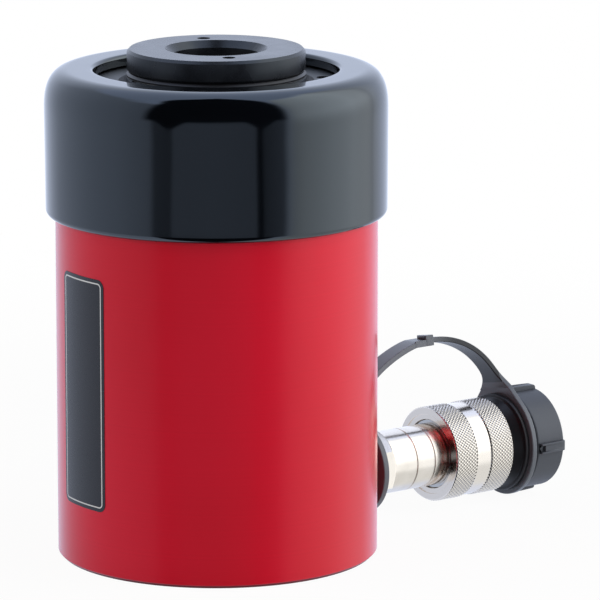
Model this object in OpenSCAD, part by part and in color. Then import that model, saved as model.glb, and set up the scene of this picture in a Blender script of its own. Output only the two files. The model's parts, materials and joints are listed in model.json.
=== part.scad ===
// Hollow plunger hydraulic cylinder, single acting with spring return.
// The origin is the centre of the base face, +Z runs along the plunger
// and +X along the oil port and its quick coupler. Lengths are millimetres.

/* [Cylinder body] */
// Outside diameter of the body
body_d = 114.3; // [110:0.1:120]
// Height of the body from the base to its top face
body_h = 170.5; // [165:0.5:185]
// Diameter of the polished bore
bore_d = 88.9; // [86:0.1:91]
// Thickness of the floor below the piston
floor_t = 18; // [16:0.5:20]
// Chamfer round the base
base_chamfer = 1.2; // [0.5:0.1:2]
// Lead-in chamfer at the top of the collar thread
collar_chamfer = 3; // [2:0.1:4]
// Length of the threaded collar at the top
collar_l = 43.5; // [35:0.5:46]
// Width of the relief groove below the collar thread
relief_w = 3; // [2:0.1:4]
// Depth of the relief groove below the collar thread
relief_depth = 0.9; // [0.5:0.1:1.2]

/* [Base holes] */
// Diameter of the tapped mounting holes in the base
base_hole_d = 8; // [6:0.1:9]
// Pitch circle of the mounting holes
base_hole_pcd = 92.2; // [86:0.1:96]
// Depth of the mounting holes
base_hole_depth = 12; // [8:0.5:14]
// Direction of the first mounting hole, from +X
base_hole_angle = 90; // [60:1:120]

/* [Oil port] */
// Height of the port axis above the base
port_h = 20.8; // [20.8:0.1:24]
// Diameter of the tapped port
port_d = 17.2; // [15:0.1:18]
// Metal left between the tapped port and the bore
port_wall = 1.2; // [0.8:0.1:3]
// Diameter of the flat faced round the port
port_face_d = 22; // [20:0.1:26]
// Extra depth of that flat below the curve of the body
port_face_cut = 0.2; // [0.1:0.1:0.6]
// Diameter of the oil passage from the port to the bore
oil_passage_d = 4; // [2:0.1:5]

/* [Plunger] */
// Distance that the plunger lifts
stroke = 63.5; // [50:0.5:66]
// Outside diameter of the plunger
plunger_d = 63.5; // [62:0.1:64.5]
// Room between the centre tube and the plunger's bore above its guide
plunger_bore_room = 0.775; // [0.5:0.025:1.8]
// Height of the plunger's end above the body when it is down
plunger_rise = 3; // [1:0.1:6]
// Metal between the piston's wear ring and the spring's seat
spring_seat_t = 3.6; // [2:0.1:6]
// Wall of the skirt round the return spring
skirt_wall = 3.4; // [2.5:0.1:3.8]
// Height of the narrow nose under the piston, where the oil enters
nose_h = 5.8; // [5:0.1:7]
// How far the nose is set in from the piston
nose_inset = 2.4; // [1:0.1:4]
// Edge chamfers of the plunger
plunger_chamfer = 0.8; // [0.4:0.1:1.2]

/* [Saddle] */
// Diameter of the hollow saddle
saddle_d = 63; // [58:0.1:64]
// Thickness of the saddle
saddle_t = 8.1; // [6:0.1:12]
// Hole through the saddle
saddle_bore_d = 31.4; // [31:0.1:36]
// Width of the countersink at the top of that hole
saddle_countersink = 2.4; // [0.5:0.1:3]
// Edge chamfers of the saddle
saddle_chamfer = 1; // [0.4:0.1:1.5]
// Length of the saddle's threaded spigot
spigot_l = 14; // [10:0.5:16]
// Diameter of the two spanner holes
saddle_pin_d = 4.6; // [3:0.1:6]
// Distance of the spanner holes from the axis
saddle_pin_r = 22.6; // [21:0.1:26]
// Depth of the spanner holes
saddle_pin_depth = 4; // [2:0.1:5]
// Direction of the first spanner hole, from +X
saddle_pin_angle = 65; // [0:1:180]

/* [Centre tube] */
// Outside diameter of the centre tube
tube_d = 44.45; // [43:0.05:44.8]
// Clear hole through the cylinder
tube_bore_d = 31; // [29:0.1:35]
// Diameter of the flange that seats on the floor of the bore
tube_flange_d = 51; // [48:0.1:52]
// Thickness of that flange
tube_flange_t = 3; // [2:0.1:4]
// Gap between the top of the tube and the saddle's spigot
tube_top_gap = 4; // [2:0.5:10]
// Outside diameter of the retaining clip
clip_d = 51; // [48:0.1:54]
// Thickness of the retaining clip
clip_t = 1.8; // [1.2:0.1:2.4]
// Depth of the clip's groove in the tube
clip_bite = 1.1; // [0.8:0.1:1.6]
// Depth of the pocket in the base that hides the clip
clip_pocket = 3.8; // [3:0.1:5]
// Opening between the ends of the clip
clip_gap = 9; // [5:0.5:14]

/* [Gland nut] */
// Step from the bore out to the gland nut's thread
gland_step = 3.55; // [2:0.05:5]
// Length of the gland nut
gland_l = 18; // [17:0.5:20]
// Depth of the gland nut below the top of the body
gland_recess = 0.5; // [0.2:0.1:2]
// Room between the gland nut and the plunger
gland_room = 0.35; // [0.2:0.05:0.6]
// Diameter of the two spanner holes
gland_pin_d = 5; // [4:0.1:6]
// Distance of the spanner holes from the axis
gland_pin_r = 38.4; // [38:0.1:43]
// Depth of the spanner holes
gland_pin_depth = 6; // [3:0.5:9]
// Direction of the first spanner hole, from +X
gland_pin_angle = -27; // [-90:1:90]

/* [Seals] */
// Radial depth of the wiper's seat in the gland nut
wiper_depth = 2.8; // [2.4:0.1:3.2]
// Height of the wiper's seat
wiper_h = 5; // [4:0.1:7]
// Height of the wiper's lip above the gland nut
wiper_lip = 0.8; // [0.4:0.1:1.2]
// Radial depth of every wear ring
wear_depth = 2.4; // [2:0.1:3]
// Width of every wear ring
wear_w = 7; // [5:0.1:8]
// Radial depth of the pressure seals
seal_depth = 4; // [3:0.1:4.5]
// Width of the pressure seals
seal_w = 6; // [4:0.1:7]
// Width of the back-up rings that stand on the pressure seals
backup_w = 1.8; // [1.2:0.1:2.4]
// Height of the seal grooves above the underside of the piston
seal_rise = 8; // [7:0.1:9]
// Solid land between the seal grooves and the wear ring grooves
seal_land = 5; // [3:0.1:6]
// Section of the O-ring round the centre tube
tube_oring_d = 2.6; // [2:0.1:3.5]
// Height of that O-ring in the base
tube_oring_h = 11; // [9:0.5:13]

/* [Return spring] */
// Room on each side of the return spring's wire in its pocket
spring_room = 1.125; // [1:0.025:2]
// Turns of the return spring
spring_turns = 5.5; // [4:0.5:5.5]
// Turns at each end that lie flat on their seat
spring_dead_turns = 0.75; // [0.5:0.05:1]

/* [Thread protector] */
// Wall of the protector round the collar
protector_wall = 3.3; // [2.5:0.1:6]
// How much the radius shrinks towards the lower rim
protector_taper = 0.7; // [0:0.1:1]
// Height of the protector
protector_h = 51.8; // [45:0.1:55]
// Thickness of its top
protector_top_t = 3.8; // [3:0.1:6]
// Diameter of the opening round the plunger
protector_opening_d = 86.4; // [80:0.1:95]
// Radius of the large outer shoulder
protector_shoulder_r = 12; // [8:0.1:12.5]
// Radius of the rolled edges of the rim and the opening
protector_edge_r = 1.4; // [0.8:0.1:1.6]

/* [Coupler body] */
// Where the strap's seat starts, from the outside of the body
coupler_seat_s = 1.45; // [0.9:0.05:2.8]
// Diameter of the seat for the strap's ring
coupler_seat_d = 18.8; // [18:0.1:22]
// Where the hexagon starts, from the outside of the body
hex_s = 8.35; // [7.9:0.05:10.8]
// Length of the hexagon
hex_l = 6.6; // [5:0.1:9]
// Distance across the flats of the hexagon
hex_af = 23.8; // [23.2:0.1:26]
// Diameter of the neck between the hexagon and the collar
neck_d = 23; // [22.6:0.1:23.2]
// Width of the two turned grooves round the neck
neck_groove_w = 0.8; // [0.4:0.1:1.2]
// Depth of those grooves
neck_groove_depth = 0.4; // [0.2:0.1:0.8]
// Distance between the hexagon and the first groove
neck_groove_s = 10; // [6:0.1:14]
// Distance between the two grooves
neck_groove_pitch = 8.2; // [4:0.1:9]
// Diameter of the nose inside the collar
nose_d = 20; // [18:0.1:20.4]
// Where the nose ends, from the outside of the body
nose_end_s = 63.35; // [62:0.05:64]
// Width of the flange that holds the collar
collar_stop_w = 2.6; // [2:0.1:3]
// Room between that flange and the collar's thread
collar_stop_room = 0.6; // [0.4:0.1:0.9]
// Section of the O-ring on the nose
coupler_oring_d = 2; // [1.5:0.1:2.4]
// Distance of that O-ring from the collar's flange
coupler_oring_s = 2.4; // [2:0.1:3]

/* [Coupler collar] */
// Diameter over the knurled bands
collar_d = 35.1; // [33:0.1:37]
// Where the collar starts, from the outside of the body
collar_s = 39.15; // [37:0.05:40]
// Length of the collar
collar_len = 26.9; // [26:0.1:28]
// Length of the first knurled band
knurl_first_l = 9.7; // [7:0.1:11]
// Length of the smooth band between the knurls
band_l = 7; // [4:0.1:10]
// Depth of the smooth band below the knurls
band_depth = 0.45; // [0.2:0.05:0.8]
// Edge chamfers of the collar
collar_edge = 0.8; // [0.4:0.1:1.2]
// Depth of the ring recessed into the inner face
collar_face_step = 0.6; // [0.3:0.1:1]
// Diameter of that recessed ring
collar_face_d = 29.6; // [28:0.1:31]
// Depth of the pocket for the snap ring
snap_pocket = 2.4; // [2:0.1:3]
// Diameter of the pocket for the snap ring
snap_pocket_d = 25.8; // [25:0.1:27.5]
// Thickness of the snap ring
snap_t = 1.2; // [0.8:0.1:1.5]
// Depth of the snap ring's groove in the neck
snap_bite = 0.7; // [0.4:0.1:1]
// Opening between the ends of the snap ring
snap_gap = 5; // [3:0.5:8]
// Length of the collar's bearing on the neck
collar_bearing_l = 5.4; // [4:0.1:6]
// Diameter of the collar's thread for the cap or the hose
collar_thread_d = 27.8; // [27.4:0.1:28.4]

/* [Coupler valve] */
// Diameter of the valve chamber
chamber_d = 13; // [12:0.1:14]
// Length of the valve chamber up to its cone
chamber_l = 22.5; // [20:0.1:24]
// Hole in the nose that the pin shows through
nose_hole_d = 8.4; // [7:0.1:9]
// Length of that hole
nose_hole_l = 3; // [2:0.1:4]
// Length of the sealing cone
cone_l = 3; // [2.5:0.1:4]
// Diameter of the passage behind the guide
guide_passage_d = 11; // [9:0.1:11.5]
// Diameter of the oil passage through the coupler
coupler_passage_d = 7; // [5:0.1:8]
// Thickness of the guide
guide_t = 3; // [2:0.1:4]
// Diameter of the flow holes in the guide
guide_hole_d = 2.6; // [1.5:0.1:3]
// Number of flow holes in the guide
guide_holes = 4; // [3:1:6]
// Diameter of the poppet's stem
stem_d = 4; // [3:0.1:4.4]
// Diameter of the poppet's head
poppet_d = 11.8; // [11:0.1:12.2]
// Length of the poppet's straight head
poppet_head_l = 5.8; // [4:0.1:7]
// Length of the stem that shows behind the guide
stem_tail = 2.5; // [1:0.1:3]
// Distance that the poppet is pushed in
poppet_travel = 3; // [2:0.1:3.5]
// How far the pin's end lies inside the nose
pin_recess = 0.9; // [0.4:0.1:1.5]
// Wire of the poppet spring
valve_wire = 1; // [0.7:0.05:1.2]
// Turns of the poppet spring
valve_turns = 7; // [5:0.5:8]
// Mean diameter of the poppet spring
valve_spring_d = 7.8; // [7:0.1:8.4]

/* [Dust cap] */
// Length of the cap's thread in the collar
cap_thread_l = 8.4; // [6:0.1:10]
// Room between the cap's plug and the coupler's nose
cap_nose_room = 0.65; // [0.5:0.05:1.2]
// Room between the end of the nose and the floor of the cap
cap_floor_room = 2.1; // [1:0.1:4]
// Length of the cone between the plug and the flange
cap_cone_l = 4.8; // [3:0.1:6]
// Diameter of the cone at the flange
cap_cone_d = 33.6; // [31:0.1:35]
// Diameter of the thin flange that keeps the strap on
cap_flange_d = 36.4; // [35:0.1:39]
// Thickness of that flange
cap_flange_t = 1.8; // [1.2:0.1:2.6]
// Width of the groove that the strap's ring turns in
cap_groove_w = 3.6; // [3:0.1:5]
// Diameter of that groove
cap_groove_d = 30.4; // [28:0.1:32]
// Diameter of the cap's body
cap_d = 37; // [35:0.1:39]
// Length of the cap's body
cap_l = 12.6; // [10:0.1:16]
// Edge rounding of the cap's end
cap_edge_r = 1.4; // [0.5:0.1:2]
// Number of grip ribs
cap_ribs = 4; // [3:1:8]
// Height of the grip ribs
cap_rib_h = 2; // [1:0.1:2.2]
// Width of the grip ribs
cap_rib_w = 4.2; // [3:0.1:6]
// Length of the grip ribs
cap_rib_l = 11; // [8:0.1:11.4]
// Width of the channel along each rib
cap_channel_w = 1.8; // [1:0.1:2.4]
// Depth of that channel
cap_channel_depth = 0.7; // [0.3:0.1:1]

/* [Strap] */
// Width of the strap
strap_w = 8; // [6:0.1:11]
// Thickness of the strap
strap_t = 2; // [1.4:0.1:2.2]
// Height of the top of the arch above the port axis
strap_h = 41.7; // [38:0.1:50]
// Lean of the arch about the port axis, in degrees
strap_lean = 11; // [-30:1:30]
// Outside diameter of the ring on the coupler's seat
neck_ring_d = 34; // [30:0.1:36]
// Thickness of the ring on the coupler's seat
neck_ring_t = 2.5; // [2.2:0.1:3]
// Gap between that ring and the hexagon
neck_ring_gap = 0.4; // [0.2:0.1:1]
// Outside diameter of the ring on the cap
cap_ring_d = 40; // [38:0.1:41]
// Thickness of the ring on the cap
cap_ring_t = 2.2; // [2:0.1:2.6]
// Length over which each ring narrows to the strap
ring_tail_l = 6; // [3:0.1:9]
// Where the middle of the buckle lies, from the outside of the body
buckle_s = 41.15; // [33:0.05:43]
// Length of the buckle
buckle_l = 6.6; // [5:0.1:14]
// Wall of the buckle round the strap
buckle_wall = 0.85; // [0.5:0.05:1.6]
// Rim of the buckle before the window in its top
buckle_rim = 0.9; // [0.6:0.1:2]
// Thickness of the strap's tongue under that window
tongue_t = 0.7; // [0.5:0.1:1.2]

/* [Clearances] */
// Radial clearance of the pieces that slide or turn
running_fit = 0.05; // [0.02:0.01:0.09]
// Radial clearance of threads and of pieces that stay in place
seat_fit = 0.05; // [0.02:0.01:0.1]
// Gap between moving pieces at the ends of their travel
stop_gap = 0.3; // [0.1:0.05:0.5]
// Gap between the protector and the body
protector_gap = 0.35; // [0.2:0.05:0.5]
// Side room of a ring in its groove
groove_room = 0.1; // [0.05:0.01:0.2]

/* [Hidden] */
$fn = 96;

// Overlap that lets a cut pass right through a face
cut = 1;

// Radii of the main round pieces
body_r = body_d / 2;
bore_r = bore_d / 2;
plunger_r = plunger_d / 2;
tube_r = tube_d / 2;
plunger_bore_r = tube_r + plunger_bore_room;
tube_bore_r = tube_bore_d / 2;
gland_r = bore_r + gland_step;
piston_r = bore_r - running_fit;
tube_guide_r = tube_r + running_fit;

// Heights along the cylinder axis
collar_z = body_h - collar_l;
gland_top = body_h - gland_recess;
gland_z = gland_top - gland_l;
piston_z = floor_t + stop_gap;
skirt_top = gland_z - stroke - stop_gap;
plunger_top = body_h + plunger_rise;
saddle_top = plunger_top + saddle_t;
spigot_z = plunger_top - spigot_l;
tube_top = spigot_z - tube_top_gap;
seal_z = piston_z + seal_rise;
seal_groove_h = seal_w + backup_w + 2 * groove_room;
wear_z = seal_z + seal_groove_h + seal_land;
wear_groove_h = wear_w + 2 * groove_room;
spring_seat_z = wear_z + wear_groove_h + spring_seat_t;
gland_wear_z = gland_z + (gland_l - wiper_h - wear_groove_h) / 2;

// The guide in the plunger's foot covers both grooves of the tube's rings
guide_top = wear_z + wear_groove_h + seal_land / 2;
flange_relief_r = tube_flange_d / 2 + stop_gap;
flange_relief_z = floor_t + tube_flange_t + 2 * stop_gap;

// Return spring between its seat on the piston and the gland nut
skirt_r = piston_r - skirt_wall;
spring_r = (plunger_r + skirt_r) / 2;
spring_wire = skirt_r - plunger_r - 2 * spring_room;

// Thread protector
protector_bore_r = body_r + protector_gap;
protector_r = protector_bore_r + protector_wall;
protector_underside = body_h + protector_gap;
protector_top = protector_underside + protector_top_t;
protector_rim_z = protector_top - protector_h;
protector_rim_r = protector_r - protector_taper;
opening_r = protector_opening_d / 2;
shoulder_r = min(protector_shoulder_r, protector_r - opening_r - protector_edge_r);

// Stations along the port axis, measured from the outside of the body
port_r = port_d / 2;
port_bottom_s = bore_r + port_wall - body_r;
port_face_s = sqrt(pow(body_r, 2) - pow(port_face_d / 2, 2)) - body_r - port_face_cut;
neck_s = hex_s + hex_l;
neck_r = neck_d / 2;
collar_end_s = collar_s + collar_len;
snap_floor_s = collar_s + collar_face_step + snap_pocket;
snap_s = snap_floor_s - stop_gap - snap_t;
bearing_end_s = snap_floor_s + collar_bearing_l;
collar_stop_s = bearing_end_s + stop_gap;
coupler_oring_mid_s = collar_stop_s + collar_stop_w + coupler_oring_s;
cone_end_s = nose_end_s - nose_hole_l;
cone_start_s = cone_end_s - cone_l;
chamber_s = cone_start_s - chamber_l;
guide_front_s = chamber_s + guide_t;

// Slope of the valve's cone, in length for each unit of radius
cone_slope = cone_l / ((chamber_d - nose_hole_d) / 2);

// The pin is narrower than its hole by the same room that the head has in the chamber
poppet_room = (chamber_d - poppet_d) / 2;
pin_r = nose_hole_d / 2 - poppet_room;
poppet_cone_start_s = cone_at(poppet_d / 2);
poppet_cone_end_s = cone_at(pin_r);
poppet_back_s = poppet_cone_start_s - poppet_head_l;

// Dust cap
cap_plug_r = collar_thread_d / 2 - running_fit;
cap_start_s = collar_end_s + stop_gap;
cap_plug_s = cap_start_s - cap_thread_l;
cap_flange_s = cap_start_s + cap_cone_l;
cap_groove_s = cap_flange_s + cap_flange_t;
cap_body_s = cap_groove_s + cap_groove_w;
cap_end_s = cap_body_s + cap_l;
cap_floor_s = nose_end_s + cap_floor_room;
cap_r = cap_d / 2;

// Strap
neck_ring_end_s = hex_s - neck_ring_gap;
neck_ring_mid_s = neck_ring_end_s - neck_ring_t / 2;
cap_ring_mid_s = cap_groove_s + cap_groove_w / 2;
buckle_start_s = buckle_s - buckle_l / 2;
buckle_end_s = buckle_s + buckle_l / 2;

// Number of straight steps in each curve of the strap and each rounded edge
curve_steps = 14;
edge_steps = 12;

// How far along the strap's span and height the curve keeps its first direction
strap_rise = 0.66;
strap_run = 0.1;
cap_strap_run = 0.43;
cap_strap_drop = 0.33;
cap_strap_reach = 0.86;

// Angle on each ring where its tail starts
ring_tail_angle = 50;

// Steps round one turn of a spring and round its wire
turn_steps = 20;
wire_steps = 10;

// Point on a circle of radius r about c
function on_circle(c, r, a) = c + r * [cos(a), sin(a)];

// Arc about c from angle a0 to angle a1
function arc(c, r, a0, a1) =
    [for (i = [0:edge_steps]) on_circle(c, r, a0 + (a1 - a0) * i / edge_steps)];

// Point at t on the cubic curve with end points a and d and handles b and c
function bezier(a, b, c, d, t) =
    pow(1 - t, 3) * a + 3 * t * pow(1 - t, 2) * b + 3 * t * t * (1 - t) * c + pow(t, 3) * d;

function curve(a, b, c, d) =
    [for (i = [0:curve_steps]) bezier(a, b, c, d, i / curve_steps)];

// Direction of a path at its point i
function heading(path, i) =
    let (step = path[min(i + 1, len(path) - 1)] - path[max(i - 1, 0)])
    step / norm(step);

// The path moved sideways by a distance
function beside(path, distance) =
    [for (i = [0:len(path) - 1])
        let (d = heading(path, i))
        path[i] + distance * [-d[1], d[0]]];

function reversed(list) = [for (i = [len(list) - 1:-1:0]) list[i]];

// Outline of a flat band of thickness t along a path
function band(path, t) = concat(beside(path, t / 2), reversed(beside(path, -t / 2)));

// Where the poppet's cone has radius r, a little clear of its seat
function cone_at(r) = cone_end_s - (r - nose_hole_d / 2) * cone_slope - stop_gap / 2;

// Height of a spring's wire after a number of turns, with flat turns at both ends
function coil_height(turn, turns, dead, wire, length) =
    let (flat = wire * dead,
         active = (length - wire / 2 - 2 * flat) / (turns - 2 * dead),
         from_end = turns - turn)
    turn < dead ? wire / 4 + wire * turn
    : from_end < dead ? length - wire / 4 - wire * from_end
    : wire / 4 + flat + active * (turn - dead);

module revolve(outline) {
    rotate_extrude() polygon(outline);
}

// Square-cornered ring between two radii
module ring(inner_r, outer_r, bottom, height) {
    revolve([[inner_r, bottom], [outer_r, bottom],
             [outer_r, bottom + height], [inner_r, bottom + height]]);
}

// Stands children on the port axis where it leaves the body, with their Z along +X
module on_port_axis() {
    translate([body_r, 0, port_h]) rotate([0, 90, 0]) children();
}

// Opens a ring between its ends, on the side towards +Y
module ring_opening(gap, outer_r, bottom, height) {
    translate([-gap / 2, 0, bottom - cut]) cube([gap, outer_r + cut, height + 2 * cut]);
}

// Two holes on a circle, opposite each other
module opposite_holes(d, pitch_r, angle, bottom, height) {
    for (turn = [0, 180])
        rotate(angle + turn) translate([pitch_r, 0, bottom]) cylinder(d = d, h = height);
}

// Round wire wound along Z, ground flat at both ends
module coil(mean_r, wire, turns, dead, length) {
    rings = ceil(turns * turn_steps);
    points = [for (i = [0:rings], j = [0:wire_steps - 1])
        let (turn = turns * i / rings,
             a = 360 * j / wire_steps,
             r = mean_r + wire / 2 * cos(a))
        [r * cos(360 * turn), r * sin(360 * turn),
         coil_height(turn, turns, dead, wire, length) + wire / 2 * sin(a)]];
    sides = [for (i = [0:rings - 1], j = [0:wire_steps - 1])
        let (k = (j + 1) % wire_steps,
             here = i * wire_steps,
             next = here + wire_steps)
        [here + j, here + k, next + k, next + j]];
    start = [for (j = [wire_steps - 1:-1:0]) j];
    end = [for (j = [0:wire_steps - 1]) rings * wire_steps + j];
    intersection() {
        polyhedron(points, concat([start], sides, [end]), convexity = 10);
        ring(mean_r - wire, mean_r + wire, 0, length);
    }
}

// Stands children where the port axis leaves the body, in the plane that the strap leans in
module on_strap_plane() {
    translate([body_r, 0, port_h]) rotate([-strap_lean, 0, 0]) children();
}

// Flat ring of the strap, with a tail that narrows upwards to the strap
module strap_ring(inner_r, outer_r, start_s, t) {
    edge = on_circle([0, 0], outer_r, ring_tail_angle);
    tip = outer_r + ring_tail_l;
    on_strap_plane() rotate([0, 90, 0]) translate([0, 0, start_s]) linear_extrude(t) difference() {
        union() {
            circle(outer_r);
            polygon([[0, 0], [-edge[0], edge[1]], [-tip, strap_w / 2],
                     [-tip, -strap_w / 2], [-edge[0], -edge[1]]]);
        }
        circle(inner_r);
    }
}

// Band of the strap in its plane
module strap_band(path) {
    on_strap_plane() rotate([90, 0, 0])
        linear_extrude(strap_w, center = true) polygon(band(path, strap_t));
}

module cylinder_body() {
    color("firebrick") difference() {
        revolve([[0, 0],
                 [body_r - base_chamfer, 0],
                 [body_r, base_chamfer],
                 [body_r, collar_z - relief_w],
                 [body_r - relief_depth, collar_z - relief_w + relief_depth],
                 [body_r - relief_depth, collar_z - relief_depth],
                 [body_r, collar_z],
                 [body_r, body_h - collar_chamfer],
                 [body_r - collar_chamfer, body_h],
                 [0, body_h]]);
        translate([0, 0, floor_t]) cylinder(r = bore_r, h = body_h);
        translate([0, 0, gland_z]) cylinder(r = gland_r + seat_fit, h = body_h);
        translate([0, 0, -cut]) cylinder(r = tube_r + seat_fit, h = floor_t + 2 * cut);
        translate([0, 0, -cut]) cylinder(r = clip_d / 2 + stop_gap, h = clip_pocket + cut);
        ring(tube_r - cut, tube_r + tube_oring_d + groove_room,
             tube_oring_h - tube_oring_d / 2 - groove_room, tube_oring_d + 2 * groove_room);
        opposite_holes(base_hole_d, base_hole_pcd / 2, base_hole_angle, -cut, base_hole_depth + cut);
        on_port_axis() {
            translate([0, 0, port_bottom_s]) cylinder(r = port_r, h = body_r);
            translate([0, 0, port_face_s]) cylinder(d = port_face_d, h = body_r);
            translate([0, 0, -body_r + bore_r / 2])
                cylinder(d = oil_passage_d, h = port_bottom_s + cut + body_r - bore_r / 2);
        }
    }
}

module thread_protector() {
    shoulder = [protector_r - shoulder_r, protector_top - shoulder_r];
    opening_edge = [opening_r + protector_edge_r, protector_top - protector_edge_r];
    rim_edge = [protector_rim_r - protector_edge_r, protector_rim_z + protector_edge_r];
    color("black") revolve(concat(
        [[opening_r, protector_underside]],
        arc(opening_edge, protector_edge_r, 180, 90),
        arc(shoulder, shoulder_r, 90, 0),
        arc(rim_edge, protector_edge_r, 0, -90),
        [[protector_bore_r, protector_rim_z],
         [protector_bore_r, body_h - collar_chamfer],
         [protector_bore_r - collar_chamfer, protector_underside]]));
}

module gland_nut() {
    bore = plunger_r + gland_room;
    color("dimgray") difference() {
        ring(bore, gland_r, gland_z, gland_l);
        ring(bore - cut, plunger_r + wiper_depth, gland_top - wiper_h, wiper_h + cut);
        ring(bore - cut, plunger_r + wear_depth, gland_wear_z, wear_groove_h);
        opposite_holes(gland_pin_d, gland_pin_r, gland_pin_angle, gland_top - gland_pin_depth,
                       gland_pin_depth + cut);
    }
}

module wiper_ring() {
    inner_r = plunger_r + running_fit;
    outer_r = plunger_r + wiper_depth - seat_fit;
    bottom = gland_top - wiper_h;
    color("black") revolve([[inner_r + wiper_depth / 3, bottom],
                            [outer_r, bottom],
                            [outer_r, gland_top],
                            [inner_r + wiper_depth / 3, gland_top + wiper_lip],
                            [inner_r, gland_top + wiper_lip / 2],
                            [inner_r, gland_top - wiper_h / 3]]);
}

module gland_wear_ring() {
    color("sienna") ring(plunger_r + running_fit, plunger_r + wear_depth - seat_fit,
                         gland_wear_z + groove_room, wear_w);
}

module centre_tube() {
    color("silver") difference() {
        revolve([[tube_bore_r, 0],
                 [tube_r, 0],
                 [tube_r, floor_t],
                 [tube_flange_d / 2, floor_t],
                 [tube_flange_d / 2, floor_t + tube_flange_t],
                 [tube_r, floor_t + tube_flange_t],
                 [tube_r, tube_top - plunger_chamfer],
                 [tube_r - plunger_chamfer, tube_top],
                 [tube_bore_r, tube_top]]);
        ring(tube_r - clip_bite, tube_r + cut, clip_pocket - clip_t, clip_t);
    }
}

module tube_oring() {
    color("black") translate([0, 0, tube_oring_h]) rotate_extrude()
        translate([tube_r + (tube_oring_d + groove_room) / 2, 0]) circle(d = tube_oring_d);
}

module tube_clip() {
    bottom = clip_pocket - clip_t;
    color("gray") difference() {
        ring(tube_r - clip_bite + seat_fit, clip_d / 2, bottom, clip_t);
        ring_opening(clip_gap, clip_d / 2, bottom, clip_t);
    }
}

module plunger() {
    nose_r = piston_r - nose_inset;
    color("lightgray") difference() {
        revolve([[flange_relief_r, piston_z],
                 [nose_r, piston_z],
                 [nose_r, piston_z + nose_h - nose_inset],
                 [piston_r, piston_z + nose_h],
                 [piston_r, skirt_top],
                 [skirt_r, skirt_top],
                 [skirt_r, spring_seat_z],
                 [plunger_r, spring_seat_z],
                 [plunger_r, plunger_top - plunger_chamfer],
                 [plunger_r - plunger_chamfer, plunger_top],
                 [plunger_bore_r, plunger_top],
                 [plunger_bore_r, guide_top],
                 [tube_guide_r, guide_top],
                 [tube_guide_r, flange_relief_z],
                 [flange_relief_r, flange_relief_z]]);
        ring(piston_r - seal_depth, piston_r + cut, seal_z, seal_groove_h);
        ring(piston_r - wear_depth, piston_r + cut, wear_z, wear_groove_h);
        ring(tube_r - cut, tube_guide_r + seal_depth, seal_z, seal_groove_h);
        ring(tube_r - cut, tube_guide_r + wear_depth, wear_z, wear_groove_h);
    }
}

module saddle() {
    bore = saddle_bore_d / 2;
    spigot_r = plunger_bore_r - seat_fit;
    r = saddle_d / 2;
    color("#26282b") difference() {
        revolve([[bore, spigot_z],
                 [spigot_r, spigot_z],
                 [spigot_r, plunger_top],
                 [r - saddle_chamfer, plunger_top],
                 [r, plunger_top + saddle_chamfer],
                 [r, saddle_top - saddle_chamfer],
                 [r - saddle_chamfer, saddle_top],
                 [bore + saddle_countersink, saddle_top],
                 [bore, saddle_top - saddle_countersink]]);
        opposite_holes(saddle_pin_d, saddle_pin_r, saddle_pin_angle, saddle_top - saddle_pin_depth,
                       saddle_pin_depth + cut);
    }
}

// Ring of a piston groove, from the groove's floor to the bore
module piston_ring(depth, bottom, height) {
    ring(piston_r - depth + seat_fit, bore_r - running_fit / 2, bottom, height);
}

// Ring of a groove in the plunger's foot, from the centre tube to the groove's floor
module foot_ring(depth, bottom, height) {
    ring(tube_r + running_fit / 2, tube_guide_r + depth - seat_fit, bottom, height);
}

// Cup that the oil spreads, open towards the pressure below
module cup_notch(mid_r, depth) {
    revolve([[mid_r - depth / 6, seal_z - cut],
             [mid_r + depth / 6, seal_z - cut],
             [mid_r, seal_z + seal_w / 2]]);
}

module piston_seal() {
    color("teal") difference() {
        piston_ring(seal_depth, seal_z + groove_room, seal_w);
        cup_notch(piston_r - seal_depth / 2, seal_depth);
    }
}

module piston_backup_ring() {
    color("ivory") piston_ring(seal_depth, seal_z + groove_room + seal_w, backup_w);
}

module piston_wear_ring() {
    color("sienna") piston_ring(wear_depth, wear_z + groove_room, wear_w);
}

module tube_seal() {
    color("teal") difference() {
        foot_ring(seal_depth, seal_z + groove_room, seal_w);
        cup_notch(tube_guide_r + seal_depth / 2, seal_depth);
    }
}

module tube_backup_ring() {
    color("ivory") foot_ring(seal_depth, seal_z + groove_room + seal_w, backup_w);
}

module tube_wear_ring() {
    color("sienna") foot_ring(wear_depth, wear_z + groove_room, wear_w);
}

module return_spring() {
    color("slategray") translate([0, 0, spring_seat_z + groove_room])
        coil(spring_r, spring_wire, spring_turns, spring_dead_turns,
             gland_z - spring_seat_z - 2 * groove_room);
}

// Hexagon with its corners turned off
module coupler_hexagon() {
    corner_r = hex_af / 2 / cos(30);
    slope = corner_r - hex_af / 2;
    translate([0, 0, hex_s]) intersection() {
        cylinder(r = corner_r, h = hex_l, $fn = 6);
        revolve([[0, 0], [hex_af / 2, 0], [corner_r, slope / 2],
                 [corner_r, hex_l - slope / 2], [hex_af / 2, hex_l], [0, hex_l]]);
    }
}

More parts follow.
